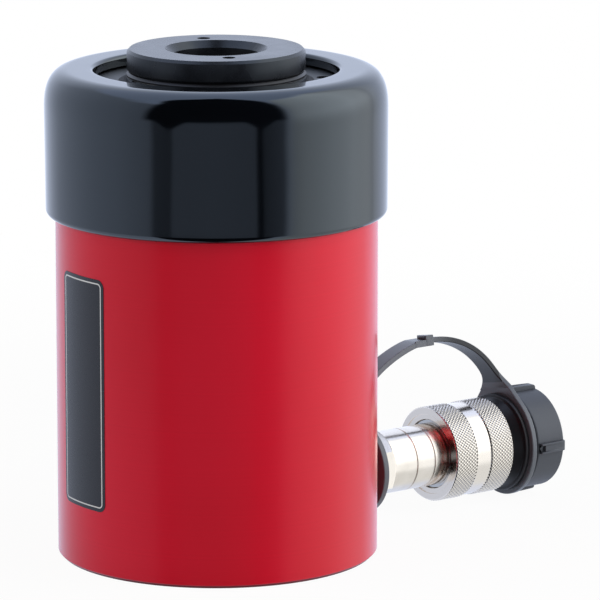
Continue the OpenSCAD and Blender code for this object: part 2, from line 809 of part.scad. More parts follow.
module coupler_body() {
    thread_r = port_r - seat_fit;
    nose_r = nose_d / 2;
    stop_r = collar_thread_d / 2 - collar_stop_room;
    oring_floor_r = nose_r - coupler_oring_d / 2;
    chamber_r = chamber_d / 2;
    color("silver") on_port_axis() difference() {
        union() {
            revolve([[0, port_bottom_s + stop_gap],
                     [thread_r, port_bottom_s + stop_gap],
                     [thread_r, coupler_seat_s],
                     [coupler_seat_d / 2, coupler_seat_s],
                     [coupler_seat_d / 2, neck_s - hex_l / 2],
                     [neck_r, neck_s - hex_l / 2],
                     [neck_r, collar_stop_s],
                     [stop_r, collar_stop_s],
                     [stop_r, collar_stop_s + collar_stop_w],
                     [nose_r, collar_stop_s + collar_stop_w],
                     [nose_r, nose_end_s - collar_edge],
                     [nose_r - collar_edge, nose_end_s],
                     [0, nose_end_s]]);
            coupler_hexagon();
        }
        for (i = [0, 1])
            ring(neck_r - neck_groove_depth, neck_r + cut,
                 neck_s + neck_groove_s + i * neck_groove_pitch, neck_groove_w);
        ring(neck_r - snap_bite, neck_r + cut, snap_s - groove_room, snap_t + 2 * groove_room);
        ring(oring_floor_r, nose_r + cut, coupler_oring_mid_s - coupler_oring_d / 2 - groove_room,
             coupler_oring_d + 2 * groove_room);
        revolve([[0, port_bottom_s],
                 [coupler_passage_d / 2, port_bottom_s],
                 [coupler_passage_d / 2, chamber_s - stem_tail - poppet_travel],
                 [guide_passage_d / 2, chamber_s - stem_tail - poppet_travel],
                 [guide_passage_d / 2, chamber_s],
                 [chamber_r, chamber_s],
                 [chamber_r, cone_start_s],
                 [nose_hole_d / 2, cone_end_s],
                 [nose_hole_d / 2, nose_end_s + cut],
                 [0, nose_end_s + cut]]);
    }
}

module coupler_collar() {
    r = collar_d / 2;
    band_r = r - band_depth;
    band_s = collar_s + knurl_first_l;
    thread_r = collar_thread_d / 2;
    face_s = collar_s + collar_face_step;
    color("gainsboro") on_port_axis()
        revolve([[neck_r + running_fit, snap_floor_s],
                 [snap_pocket_d / 2, snap_floor_s],
                 [snap_pocket_d / 2, face_s],
                 [collar_face_d / 2, face_s],
                 [collar_face_d / 2, collar_s],
                 [r - collar_edge, collar_s],
                 [r, collar_s + collar_edge],
                 [r, band_s],
                 [band_r, band_s + band_depth],
                 [band_r, band_s + band_l - band_depth],
                 [r, band_s + band_l],
                 [r, collar_end_s - collar_edge],
                 [r - collar_edge, collar_end_s],
                 [thread_r, collar_end_s],
                 [thread_r, bearing_end_s],
                 [neck_r + running_fit, bearing_end_s]]);
}

module collar_snap_ring() {
    outer_r = snap_pocket_d / 2 - stop_gap;
    color("gray") on_port_axis() difference() {
        ring(neck_r - snap_bite + seat_fit, outer_r, snap_s, snap_t);
        ring_opening(snap_gap, outer_r, snap_s, snap_t);
    }
}

module valve_poppet() {
    color("darkgray") on_port_axis()
        revolve([[0, chamber_s - stem_tail],
                 [stem_d / 2, chamber_s - stem_tail],
                 [stem_d / 2, poppet_back_s],
                 [poppet_d / 2, poppet_back_s],
                 [poppet_d / 2, poppet_cone_start_s],
                 [pin_r, poppet_cone_end_s],
                 [pin_r, nose_end_s - pin_recess],
                 [0, nose_end_s - pin_recess]]);
}

module poppet_spring() {
    length = poppet_back_s - guide_front_s - 2 * groove_room;
    color("slategray") on_port_axis() translate([0, 0, guide_front_s + groove_room])
        coil(valve_spring_d / 2, valve_wire, valve_turns, spring_dead_turns, length);
}

module valve_guide() {
    hole_r = (stem_d + chamber_d) / 4;
    color("darkkhaki") on_port_axis() difference() {
        ring(stem_d / 2 + running_fit, chamber_d / 2 - seat_fit, chamber_s, guide_t);
        for (i = [1:guide_holes])
            rotate(360 * i / guide_holes) translate([hole_r, 0, chamber_s - cut])
                cylinder(d = guide_hole_d, h = guide_t + 2 * cut);
    }
}

module coupler_oring() {
    color("black") on_port_axis() translate([0, 0, coupler_oring_mid_s]) rotate_extrude()
        translate([nose_d / 2 + seat_fit, 0]) circle(d = coupler_oring_d);
}

// One grip rib with its channel, along the port axis on the side towards the ground
module cap_rib() {
    translate([cap_r - cap_rib_h, -cap_rib_w / 2, cap_body_s + (cap_l - cap_rib_l) / 2])
        difference() {
            cube([2 * cap_rib_h, cap_rib_w, cap_rib_l]);
            translate([2 * cap_rib_h - cap_channel_depth, (cap_rib_w - cap_channel_w) / 2, -cut])
                cube([cap_channel_depth + cut, cap_channel_w, cap_rib_l - cap_channel_w + cut]);
        }
}

module dust_cap() {
    plug_bore_r = nose_d / 2 + cap_nose_room;
    end_edge = [cap_r - cap_edge_r, cap_end_s - cap_edge_r];
    color("#464c54") on_port_axis() {
        revolve(concat(
            [[0, cap_floor_s],
             [plug_bore_r, cap_floor_s],
             [plug_bore_r, cap_plug_s],
             [cap_plug_r, cap_plug_s],
             [cap_plug_r, cap_start_s],
             [cap_cone_d / 2, cap_flange_s],
             [cap_flange_d / 2, cap_flange_s],
             [cap_flange_d / 2, cap_groove_s],
             [cap_groove_d / 2, cap_groove_s],
             [cap_groove_d / 2, cap_body_s],
             [cap_r, cap_body_s]],
            arc(end_edge, cap_edge_r, 0, 90),
            [[0, cap_end_s]]));
        for (i = [1:cap_ribs]) rotate(360 * i / cap_ribs) cap_rib();
    }
}

module cap_strap() {
    ring_r = cap_ring_d / 2;
    foot = [cap_ring_mid_s, ring_r];
    top = [buckle_end_s, strap_h];
    span = foot - top;
    path = concat([[buckle_s + groove_room, strap_h]],
                  curve(top,
                        [top[0] + cap_strap_run * span[0], strap_h],
                        [top[0] + cap_strap_reach * span[0], strap_h + cap_strap_drop * span[1]],
                        foot));
    color("#464c54") {
        strap_ring(cap_groove_d / 2 + running_fit, ring_r, cap_ring_mid_s - cap_ring_t / 2, cap_ring_t);
        strap_band(path);
    }
}

module neck_strap() {
    ring_r = neck_ring_d / 2;
    foot = [neck_ring_mid_s, ring_r];
    top = [buckle_start_s, strap_h];
    span = top - foot;
    path = concat(curve(foot,
                        [foot[0], foot[1] + strap_rise * span[1]],
                        [top[0] - strap_run * span[0], strap_h],
                        top),
                  [[buckle_s - groove_room, strap_h]]);
    color("#464c54") {
        strap_ring(coupler_seat_d / 2 + seat_fit, ring_r, neck_ring_end_s - neck_ring_t, neck_ring_t);
        difference() {
            strap_band(path);
            on_strap_plane()
                translate([buckle_start_s + buckle_rim, -strap_w, strap_h - strap_t / 2 + tongue_t])
                    cube([buckle_l, 2 * strap_w, strap_t]);
        }
    }
}

module strap_buckle() {
    slot_w = strap_w + 2 * groove_room;
    slot_t = strap_t + 2 * groove_room;
    w = slot_w + 2 * buckle_wall;
    t = slot_t + 2 * buckle_wall;
    color("#464c54") on_strap_plane() translate([buckle_start_s, 0, strap_h]) difference() {
        translate([0, -w / 2, -t / 2]) cube([buckle_l, w, t]);
        translate([-cut, -slot_w / 2, -slot_t / 2]) cube([buckle_l + 2 * cut, slot_w, slot_t]);
        translate([buckle_rim, -slot_w / 2 + buckle_wall, 0])
            cube([buckle_l / 2 - buckle_rim, slot_w - 2 * buckle_wall, t]);
    }
}

cylinder_body();
thread_protector();
gland_nut();
wiper_ring();
gland_wear_ring();
centre_tube();
tube_oring();
tube_clip();
plunger();
saddle();
piston_seal();
piston_backup_ring();
piston_wear_ring();
tube_seal();
tube_backup_ring();
tube_wear_ring();
return_spring();
coupler_body();
coupler_collar();
collar_snap_ring();
valve_poppet();
poppet_spring();
valve_guide();
coupler_oring();
dust_cap();
cap_strap();
strap_buckle();
neck_strap();
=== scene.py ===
# %% [markdown]
# # A hollow plunger cylinder
#
# This lesson dresses a hydraulic cylinder with a hole right through it: a red steel body, a glossy black
# protector over its collar thread, a black saddle on a chromed plunger, and a nickel quick coupler whose
# dust cap hangs on a strap. The frame already holds every piece at its real size. We give each surface its
# finish, and make again the pieces whose fine shape the frame leaves out.

import json
import math

import bmesh
import bpy
import numpy as np
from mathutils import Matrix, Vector


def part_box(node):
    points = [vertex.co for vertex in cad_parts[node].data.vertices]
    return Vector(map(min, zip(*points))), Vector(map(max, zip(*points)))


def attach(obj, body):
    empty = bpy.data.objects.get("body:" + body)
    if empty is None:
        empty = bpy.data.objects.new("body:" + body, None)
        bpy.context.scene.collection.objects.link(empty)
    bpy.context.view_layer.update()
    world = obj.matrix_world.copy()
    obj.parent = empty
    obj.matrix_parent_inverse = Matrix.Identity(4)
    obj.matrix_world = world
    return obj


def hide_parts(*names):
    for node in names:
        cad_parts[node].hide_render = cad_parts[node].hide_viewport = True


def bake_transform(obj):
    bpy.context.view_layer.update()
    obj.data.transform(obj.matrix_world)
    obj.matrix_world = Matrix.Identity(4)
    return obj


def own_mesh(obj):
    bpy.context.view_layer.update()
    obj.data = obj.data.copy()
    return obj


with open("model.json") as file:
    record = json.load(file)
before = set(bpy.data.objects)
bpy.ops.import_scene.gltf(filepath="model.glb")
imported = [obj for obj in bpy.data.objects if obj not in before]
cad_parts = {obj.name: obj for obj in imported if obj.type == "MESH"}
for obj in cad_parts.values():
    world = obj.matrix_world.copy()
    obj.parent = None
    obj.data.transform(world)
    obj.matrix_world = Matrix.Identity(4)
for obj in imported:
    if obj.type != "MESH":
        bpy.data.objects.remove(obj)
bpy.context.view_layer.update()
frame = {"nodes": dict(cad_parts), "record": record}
nodes = frame["nodes"]
MM = 0.001

# %% [markdown]
# ## The camera
#
# The photograph was taken with a long lens from a little above, so upright edges stay upright and circles
# become flat ellipses. The camera is matched to those ellipses. We write its turn round the object, its pitch
# and its distance, and leave the lens unshifted.

# %% Camera
VIEW_TURN = math.radians(37.2)
VIEW_PITCH = math.radians(11.74)
CAMERA_SIDE = 29.5 * MM
CAMERA_BACK = 1795 * MM
CAMERA_HEIGHT = 464 * MM
LENS = 309.5
SENSOR = 36

towards_camera = np.array([-math.sin(VIEW_TURN), -math.cos(VIEW_TURN), 0])
to_the_right = np.array([math.cos(VIEW_TURN), -math.sin(VIEW_TURN), 0])

camera = bpy.data.objects.new("camera", bpy.data.cameras.new("camera"))
camera.data.lens = LENS
camera.data.sensor_width = SENSOR
camera_ground = CAMERA_SIDE * to_the_right + CAMERA_BACK * towards_camera
camera.location = camera_ground + np.array([0, 0, CAMERA_HEIGHT])
camera.rotation_euler = (math.pi / 2 - VIEW_PITCH, 0, -VIEW_TURN)
bpy.context.scene.collection.objects.link(camera)
bpy.context.scene.camera = camera
bpy.context.scene.view_settings.view_transform = "Standard"
print("camera at", [round(c, 3) for c in camera.location])

# %% [markdown]
# ## From arrays to meshes
#
# Turned and moulded pieces are surfaces over a grid: one direction runs round the piece, the other along its
# profile. We compute all points of such a grid at once and number its quads with the same arithmetic. Poles
# and seams are closed by merging points that fall together, and only corners over a set angle stay sharp.

# %% Grid helpers
SHARP_ANGLE = math.radians(32)
MERGE_DISTANCE = 1e-7


def grid_quads(rows, columns, close_rows=False, close_columns=False):
    """Quads between neighbours of a grid whose points are numbered row by row."""
    i = np.arange(rows if close_rows else rows - 1)[:, None]
    j = np.arange(columns if close_columns else columns - 1)[None, :]
    next_i = (i + 1) % rows
    next_j = (j + 1) % columns
    corners = [i * columns + j, i * columns + next_j, next_i * columns + next_j, next_i * columns + j]
    return np.stack(np.broadcast_arrays(*corners), -1).reshape(-1, 4)


def tidy_mesh(mesh, merge, sharp_angle):
    """Merges points that fall together, drops points without a face, turns the faces outwards and keeps only
    real corners sharp. Returns how many edges are open."""
    work = bmesh.new()
    work.from_mesh(mesh)
    bmesh.ops.remove_doubles(work, verts=work.verts, dist=merge)
    loose = [v for v in work.verts if not v.link_faces]
    bmesh.ops.delete(work, geom=loose, context="VERTS")
    bmesh.ops.recalc_face_normals(work, faces=work.faces)
    open_edges = sum(e.is_boundary for e in work.edges)
    work.to_mesh(mesh)
    work.free()
    mesh.shade_smooth()
    mesh.set_sharp_from_angle(angle=sharp_angle)
    return open_edges


def make_piece(name, points, faces, material, attributes=None, merge=MERGE_DISTANCE, sharp_angle=SHARP_ANGLE):
    """An object at the origin made of an array of points and a list of faces, with values per point."""
    mesh = bpy.data.meshes.new(name)
    mesh.from_pydata(points.reshape(-1, 3).tolist(), [], faces if isinstance(faces, list) else faces.tolist())
    for key, values in (attributes or {}).items():
        layer = mesh.attributes.new(key, "FLOAT", "POINT")
        layer.data.foreach_set("value", np.asarray(values, np.float32).ravel())
    open_edges = tidy_mesh(mesh, merge, sharp_angle)
    mesh.materials.append(material)
    piece = bpy.data.objects.new(name, mesh)
    bpy.context.scene.collection.objects.link(piece)
    print(name, len(mesh.vertices), "points", len(mesh.polygons), "faces", open_edges, "open edges")
    return piece


def carry(piece, body, slot, *stood_for):
    """Lets a piece ride on a body and stand for frame nodes; its slot argument is not used."""
    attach(piece, body)
    if stood_for:
        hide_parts(*stood_for)


# %% Outline helpers
CORNER_STEPS = 6
LARGEST_SETBACK = 0.4
LEAD = 1.2


def soften(outline, setback):
    """Rounds the corners of a closed outline. Each corner gives way to a short curve, whose point at t is
    (1-t)^2 of a point set back before the corner, 2t(1-t) of the corner and t^2 of a point set back after
    it. One more point on each straight side keeps the shading of that side flat. The setback takes only a
    part of the shorter side."""
    p = np.asarray(outline, float)
    before = np.roll(p, 1, 0) - p
    after = np.roll(p, -1, 0) - p
    before_length = np.linalg.norm(before, axis=1, keepdims=True)
    after_length = np.linalg.norm(after, axis=1, keepdims=True)
    shorter = np.minimum(before_length, after_length)
    reach = np.minimum(np.reshape(setback, (-1, 1)), LARGEST_SETBACK * shorter)
    start = p + before / before_length * reach
    end = p + after / after_length * reach
    t = np.linspace(0, 1, CORNER_STEPS)[None, :, None]
    bend = (1 - t) ** 2 * start[:, None] + 2 * t * (1 - t) * p[:, None] + t ** 2 * end[:, None]
    lead = p + before / before_length * reach * LEAD
    tail = p + after / after_length * reach * LEAD
    return np.concatenate([lead[:, None], bend, tail[:, None]], 1).reshape(-1, 2)


def arc(centre, radius, start, end, steps):
    """Points on a circle about centre, from one angle to another, in degrees."""
    angle = np.radians(np.linspace(start, end, steps))
    return np.stack([centre[0] + radius * np.cos(angle), centre[1] + radius * np.sin(angle)], -1)


def bezier(a, b, c, d, steps):
    """Cubic curve with end points a and d and handles b and c."""
    t = np.linspace(0, 1, steps)[:, None]
    return (1 - t) ** 3 * a + 3 * t * (1 - t) ** 2 * b + 3 * t * t * (1 - t) * c + t ** 3 * d


def node_points(name):
    """All points of a frame node as an array."""
    mesh = nodes[name].data
    flat = np.zeros(3 * len(mesh.vertices), np.float32)
    mesh.vertices.foreach_get("co", flat)
    return flat.reshape(-1, 3).astype(float)


# %% Main sizes, read from the frame
mounts = {m["name"]: m for m in frame["record"]["mounts"]}
port_height = mounts["hose_coupler"]["pos_m"][2]
body_radius = np.hypot(*node_points("cylinder_body")[:, :2].T).max()
body_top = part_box("cylinder_body")[1].z


def upright(height, radius, turn):
    """Points at a height, radius and angle about the cylinder's axis."""
    return np.stack(np.broadcast_arrays(radius * np.cos(turn), radius * np.sin(turn), height), -1)


def on_port_axis(station, radius, turn):
    """Points at a station, radius and angle about the port axis. Angle 0 points to the ground."""
    y = radius * np.sin(turn)
    z = port_height - radius * np.cos(turn)
    return np.stack(np.broadcast_arrays(station, y, z), -1)


def full_turn(columns):
    """A row of even angles all the way round."""
    return np.linspace(0, 2 * math.pi, columns, endpoint=False)[None, :]


print("body radius", round(body_radius, 5), "port height", round(port_height, 5))

# %% [markdown]
# ## Shader sums in plain Python
#
# A finish is a small graph of nodes. Wiring each Math node by hand hides the idea, so one class wraps a
# socket and lets it stand in an expression: adding, multiplying or raising it makes the node that does so.
# Its node method makes every other kind of node.

# %% The Shade class
def set_stops(ramp, stops):
    """Gives a ramp one grey stop for each pair of place and value."""
    while len(ramp.elements) < len(stops):
        ramp.elements.new(1.0)
    for element, (where, value) in zip(ramp.elements, stops):
        element.position = where
        element.color = (value, value, value, 1.0)


class Shade:
    """A socket in a node tree. Operators add Math nodes, and node() adds any other kind."""

    def __init__(self, tree, socket=None):
        self.tree = tree
        self.socket = socket

    def node(self, kind, settings=None, values=None, output=0):
        """Any node: its settings come first, then the values or links of its sockets."""
        made = self.tree.nodes.new(kind)
        for key, value in (settings or {}).items():
            if key == "stops":
                set_stops(made.color_ramp, value)
            else:
                setattr(made, key, value)
        for key, value in (values or {}).items():
            if isinstance(value, Shade):
                self.tree.links.new(value.socket, made.inputs[key])
            else:
                made.inputs[key].default_value = value
        return Shade(self.tree, made.outputs[output] if made.outputs else None)

    def math(self, operation, *values):
        """A Math node of the given operation."""
        return self.node("ShaderNodeMath", {"operation": operation}, dict(enumerate(values)))

    def __add__(self, other):
        return self.math("ADD", self, other)

    def __radd__(self, other):
        return self.math("ADD", other, self)

    def __sub__(self, other):
        return self.math("SUBTRACT", self, other)

    def __rsub__(self, other):
        return self.math("SUBTRACT", other, self)

    def __mul__(self, other):
        return self.math("MULTIPLY", self, other)

    def __rmul__(self, other):
        return self.math("MULTIPLY", other, self)

    def __pow__(self, other):
        return self.math("POWER", self, other)

    def __abs__(self):
        return self.math("ABSOLUTE", self)

    def larger(self, other):
        return self.math("MAXIMUM", self, other)

    def smaller(self, other):
        return self.math("MINIMUM", self, other)

    def step(self, low, high):
        """Rises smoothly from 0 at low to 1 at high."""
        return self.node("ShaderNodeMapRange", {"interpolation_type": "SMOOTHSTEP"},
                         {"Value": self, "From Min": low, "From Max": high})

    def blend(self, first, second):
        """Colour that goes from first to second as this value goes from 0 to 1."""
        return self.node("ShaderNodeMix", {"data_type": "RGBA"}, {0: self, 6: first, 7: second}, 2)


# %% Finish helpers
def start_finish(name):
    """A new material, and the Shade that its nodes start from."""
    material = bpy.data.materials.new(name)
    material.use_nodes = True
    material.node_tree.nodes.clear()
    return material, Shade(material.node_tree)


def axes(where):
    """X, Y and Z of a vector."""
    made = where.node("ShaderNodeSeparateXYZ", values={0: where})
    return [Shade(where.tree, socket) for socket in made.socket.node.outputs]


def place(shade):
    """The piece's own coordinates, in metres, as a vector and as X, Y and Z."""
    where = shade.node("ShaderNodeTexCoord", output=3)
    return where, axes(where)


def point_value(shade, name):
    """A value that the mesh keeps for each of its points."""
    return shade.node("ShaderNodeAttribute", {"attribute_name": name}, output=2)


def ray_is(shade, kind):
    """1 for a ray of this kind, otherwise 0."""
    rays = shade.node("ShaderNodeLightPath").socket.node.outputs
    return Shade(shade.tree, rays["Is " + kind + " Ray"])


def seen_directly(shade):
    """1 for what the camera sees itself or through glass, otherwise 0."""
    return ray_is(shade, "Camera").larger(ray_is(shade, "Transmission"))


def grain(shade, where, scale, detail=2.0):
    """Cloudy noise around 0.5, with a set number of cells to the metre."""
    return shade.node("ShaderNodeTexNoise", values={"Vector": where, "Scale": scale, "Detail": detail})


def lines(shade, along, scale, detail=2.0):
    """Noise along one direction only, as the lines that a turning tool leaves."""
    return shade.node("ShaderNodeTexNoise", {"noise_dimensions": "1D"},
                      {"W": along, "Scale": scale, "Detail": detail})


def bump(shade, height, depth, strength):
    """Normal of a surface that rises by a height between 0 and 1, times a depth in metres."""
    return shade.node("ShaderNodeBump", values={"Height": height, "Distance": depth, "Strength": strength})


def complete(shade, **sockets):
    """Principled shader with the given sockets, on the material's output."""
    values = {key.replace("_", " "): value for key, value in sockets.items()}
    if "IOR Level" in values:
        values["Specular IOR Level"] = values.pop("IOR Level")
    surface = shade.node("ShaderNodeBsdfPrincipled", values=values)
    shade.node("ShaderNodeOutputMaterial", values={"Surface": surface})


def colour(red, green, blue):
    """Linear colour with full cover."""
    return (red, green, blue, 1.0)


def scaled(tint, factor):
    """A paler or darker colour of the same hue."""
    return colour(*(factor * part for part in tint[:3]))


# %% [markdown]
# ## Red paint on the body
#
# The body is turned from bar, sprayed red and left with faint rings from the lathe under the paint. The
# collar thread and the bore stay bare steel, and the lowest edge is painted darker, as painted shade along
# the
# foot. One material covers all of it: it asks how high and how far from the axis a point lies, and mixes
# paint and bare metal at those borders.

# %% Body paint
PAINT_RED = colour(0.62, 0.0024, 0.021)
PAINT_DEEP = colour(0.57, 0.0018, 0.016)
PAINTED_SHADE_FOOT = colour(0.16, 0.0010, 0.006)
BARE_STEEL = colour(0.23, 0.235, 0.245)
COLLAR_FOOT = body_top - 46.5 * MM
BORE_RADIUS = 48.6 * MM
FLOOR_HEIGHT = 4 * MM
FOOT_HEIGHT = 0.7 * MM


def painted_steel():
    """Paint under a clear coat, cloudy and faintly ringed, with painted shade on its lowest edge, and bare
    steel on the collar and in the bore.
    """
    material, shade = start_finish("painted_steel")
    where, (x, y, z) = place(shade)
    radius = (x * x + y * y) ** 0.5
    collar = z.step(COLLAR_FOOT, COLLAR_FOOT + 0.6 * MM)
    inside = (1 - radius.step(BORE_RADIUS - 0.2 * MM, BORE_RADIUS)) * z.step(FLOOR_HEIGHT, FLOOR_HEIGHT + MM)
    bare = collar.larger(inside)
    cloud = grain(shade, where, 14)
    peel = grain(shade, where, 420, 1)
    rings = lines(shade, z, 1300, 3)
    # painted shade: the lowest edge gets a darker red and less coat, standing in for the shadow along the
    # foot
    foot = 1 - z.step(FOOT_HEIGHT, 2 * FOOT_HEIGHT)
    paint = cloud.step(0.3, 0.7).blend(PAINT_RED, PAINT_DEEP)
    paint = (0.11 * rings).larger(foot).blend(paint, PAINTED_SHADE_FOOT)
    relief = (0.7 * rings + 0.5 * peel) * (1 - bare) + bare * lines(shade, z, 2500)
    complete(shade, Base_Color=bare.blend(paint, BARE_STEEL), Metallic=bare,
             Roughness=0.34 + 0.06 * cloud, Coat_Weight=0.9 * (1 - bare) * (1 - 0.9 * foot),
             Coat_Roughness=0.23, Coat_IOR=1.38, IOR_Level=0.05, Normal=bump(shade, relief, 0.012 * MM, 0.6))
    return material


paint_finish = painted_steel()
print("made", paint_finish.name)

# %% [markdown]
# ## The collar thread
#
# Fixtures screw onto the top of the body, so its collar carries a fine thread that the protector hides until
# it is lifted. A thread is a radius that depends on two things: the height and the angle, which shift the
# same groove up by one pitch per turn. We copy the body from the frame, leave out the plain wall of its
# collar and sew a threaded wall between the two rings that are left open.

# %% Body with its collar thread
COLLAR_PITCH = 25.4 / 12 * MM
COLLAR_DEPTH = 1.25 * MM
COLLAR_LOW = body_top - 43.5 * MM
COLLAR_HIGH = body_top - 3 * MM
ROWS_PER_PITCH = 9
THREAD_FLAT = 0.14
TOUCH = 0.02 * MM
SEAM = 0.005 * MM
BODY_SHARP_ANGLE = math.radians(20)


def groove(phase):
    """Depth of a V thread with flat crests and roots, from 0 to 1, at a phase counted in turns."""
    saw = 1 - np.abs(2 * (phase % 1) - 1)
    return np.clip((saw - THREAD_FLAT) / (1 - 2 * THREAD_FLAT), 0, 1)


def fade(height, low, high, length):
    """Rises from 0 to 1 over a length at both ends of a stretch."""
    return np.clip(np.minimum(height - low, high - height) / length, 0, 1)


def body_arrays():
    """Points and triangles of the body without its collar wall, and that wall's angles."""
    mesh = nodes["cylinder_body"].data
    points = node_points("cylinder_body")
    corners = np.zeros(3 * len(mesh.polygons), np.int32)
    mesh.polygons.foreach_get("vertices", corners)
    triangles = corners.reshape(-1, 3)
    radius = np.hypot(points[:, 0], points[:, 1])
    on_wall = (np.abs(radius - body_radius) < TOUCH) & (points[:, 2] > COLLAR_LOW - TOUCH)
    ring = points[on_wall & (points[:, 2] > COLLAR_HIGH - TOUCH)]
    angles = np.unique(np.round(np.arctan2(ring[:, 1], ring[:, 0]), 6))
    return points, triangles[~on_wall[triangles].all(1)], angles


def threaded_body():
    """The body with a new collar wall, whose radius is less by the depth of the groove."""
    points, triangles, angles = body_arrays()
    rows = int((COLLAR_HIGH - COLLAR_LOW) / COLLAR_PITCH * ROWS_PER_PITCH)
    height = np.linspace(COLLAR_LOW, COLLAR_HIGH, rows)[:, None]
    turn = angles[None, :]
    depth = COLLAR_DEPTH * groove(height / COLLAR_PITCH - turn / (2 * math.pi))
    depth = depth * fade(height, COLLAR_LOW, COLLAR_HIGH, COLLAR_PITCH)
    wall = upright(height, body_radius - depth, turn).reshape(-1, 3)
    quads = grid_quads(rows, len(angles), close_columns=True) + len(points)
    faces = triangles.tolist() + quads.tolist()
    return make_piece("body_shell", np.concatenate([points, wall]), faces, paint_finish, None, SEAM,
                      BODY_SHARP_ANGLE)


carry(threaded_body(), "cylinder", "red_paint", "cylinder_body")

# %% [markdown]
# ## The protector
#
# The protector is soft vinyl, dipped and cured, so it is glossy, thick at its shoulder and never quite true.
# We turn an outline about the axis: a quarter of a superellipse for the big soft shoulder, and real arcs for
# the rolled edges. A very small wave in the radius lets the reflections wander as they do on a dipped skin.

# %% Vinyl finish
VINYL_BLACK = colour(0.0020, 0.0026, 0.0040)
COLD_GLOSS = colour(0.84, 0.94, 1.0)


def dipped_vinyl():
    """Very glossy black whose gloss and surface vary slowly over the skin."""
    material, shade = start_finish("dipped_vinyl")
    where, _ = place(shade)
    skin = grain(shade, where, 55, 1)
    peel = grain(shade, where, 520, 2)
    complete(shade, Base_Color=VINYL_BLACK, Roughness=0.055 + 0.05 * skin, IOR_Level=1.0,
             Specular_Tint=COLD_GLOSS,
             Normal=bump(shade, skin + 0.05 * peel, 0.10 * MM, 0.35))
    return material


vinyl_finish = dipped_vinyl()
print("made", vinyl_finish.name)

# %% Protector
protector_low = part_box("thread_protector")[0].z
protector_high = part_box("thread_protector")[1].z
protector_radius = np.hypot(*node_points("thread_protector")[:, :2].T).max()
PROTECTOR_TAPER = 0.25 * MM
PROTECTOR_GAP = 0.35 * MM
OPENING_RADIUS = 43.2 * MM
SHOULDER_ACROSS = 9 * MM
SHOULDER_DOWN = 14 * MM
SHOULDER_POWER = 2.5
SHOULDER_STEPS = 48
WALL_STEPS = 12
PROTECTOR_COLUMNS = 288
EDGE_RADIUS = 1.4 * MM
RIM_RADIUS = 2.2 * MM
COLLAR_CHAMFER = 3 * MM
WAVE = 0.05 * MM
LOBES = [(1.0, 3, 40), (0.6, 7, -90)]


def shoulder_curve(middle):
    """Quarter of a superellipse from the top to the wall: the powers of both shares add up to one."""
    turn = np.radians(np.linspace(90, 0, SHOULDER_STEPS))
    across = np.cos(turn).clip(0) ** (2 / SHOULDER_POWER)
    up = np.sin(turn).clip(0) ** (2 / SHOULDER_POWER)
    return np.stack([middle[0] + SHOULDER_ACROSS * across, middle[1] + SHOULDER_DOWN * up], -1)


def protector_outline():
    """Closed outline of radius and height: opening edge, top, shoulder, tapered wall, rim and bore."""
    bore = body_radius + PROTECTOR_GAP
    underside = body_top + PROTECTOR_GAP
    rim = protector_radius - PROTECTOR_TAPER
    opening_edge = (OPENING_RADIUS + EDGE_RADIUS, protector_high - EDGE_RADIUS)
    shoulder = (protector_radius - SHOULDER_ACROSS, protector_high - SHOULDER_DOWN)
    rim_edge = (rim - RIM_RADIUS, protector_low + RIM_RADIUS)
    wall_z = np.linspace(shoulder[1], rim_edge[1], WALL_STEPS)[1:-1]
    wall_r = np.interp(wall_z, [rim_edge[1], shoulder[1]], [rim, protector_radius])
    return np.concatenate([
        [[OPENING_RADIUS, underside]],
        arc(opening_edge, EDGE_RADIUS, 180, 90, 12),
        np.stack([np.linspace(opening_edge[0], shoulder[0], 5)[1:-1], np.full(3, protector_high)], -1),
        shoulder_curve(shoulder),
        np.stack([wall_r, wall_z], -1),
        arc(rim_edge, RIM_RADIUS, 0, -90, 16),
        [[bore, protector_low],
         [bore, body_top - COLLAR_CHAMFER],
         [bore - COLLAR_CHAMFER, underside]]])


def protector_piece():
    """The outline turned about the axis. Outside the bore the radius carries a wave, a sum of sines of the
    angle that twist with the height, each with its share, its count of lobes and its twist."""
    outline = protector_outline()
    radius, height = outline[:, :1], outline[:, 1:]
    turn = full_turn(PROTECTOR_COLUMNS)
    outside = np.clip((radius - body_radius - PROTECTOR_GAP) / MM, 0, 1)
    wave = sum(share * (np.sin(count * turn + twist * height) - 1) for share, count, twist in LOBES)
    points = upright(height, radius + WAVE * outside * wave, turn)
    quads = grid_quads(len(outline), turn.shape[1], close_rows=True, close_columns=True)
    return make_piece("protector_skin", points, quads, vinyl_finish)


carry(protector_piece(), "thread_protector", "black_vinyl", "thread_protector")

# %% [markdown]
# ## The label plate
#
# A dark plate is glued to the side of the body. It stays plain here: a black film with one thin pale line
# near its border. The plate is a grid bent round the body, whose rows narrow at both ends to round its
# corners. The line is a distance from the border, worked out in the shader.

# %% Label plate
LABEL_MIDDLE = math.radians(177.4)
LABEL_HALF_WIDTH = 12.8 * MM
LABEL_LOW = 23.4 * MM
LABEL_HIGH = 106.4 * MM
LABEL_HALF_HEIGHT = (LABEL_HIGH - LABEL_LOW) / 2
LABEL_CORNER = 3 * MM
LABEL_THICKNESS = 0.16 * MM
LABEL_DIP = -0.3 * LABEL_THICKNESS
LABEL_BLACK = colour(0.010, 0.010, 0.012)
LABEL_PALE = colour(0.62, 0.62, 0.62)
LINE_INSET = 1.5 * MM
LINE_HALF_WIDTH = 0.22 * MM


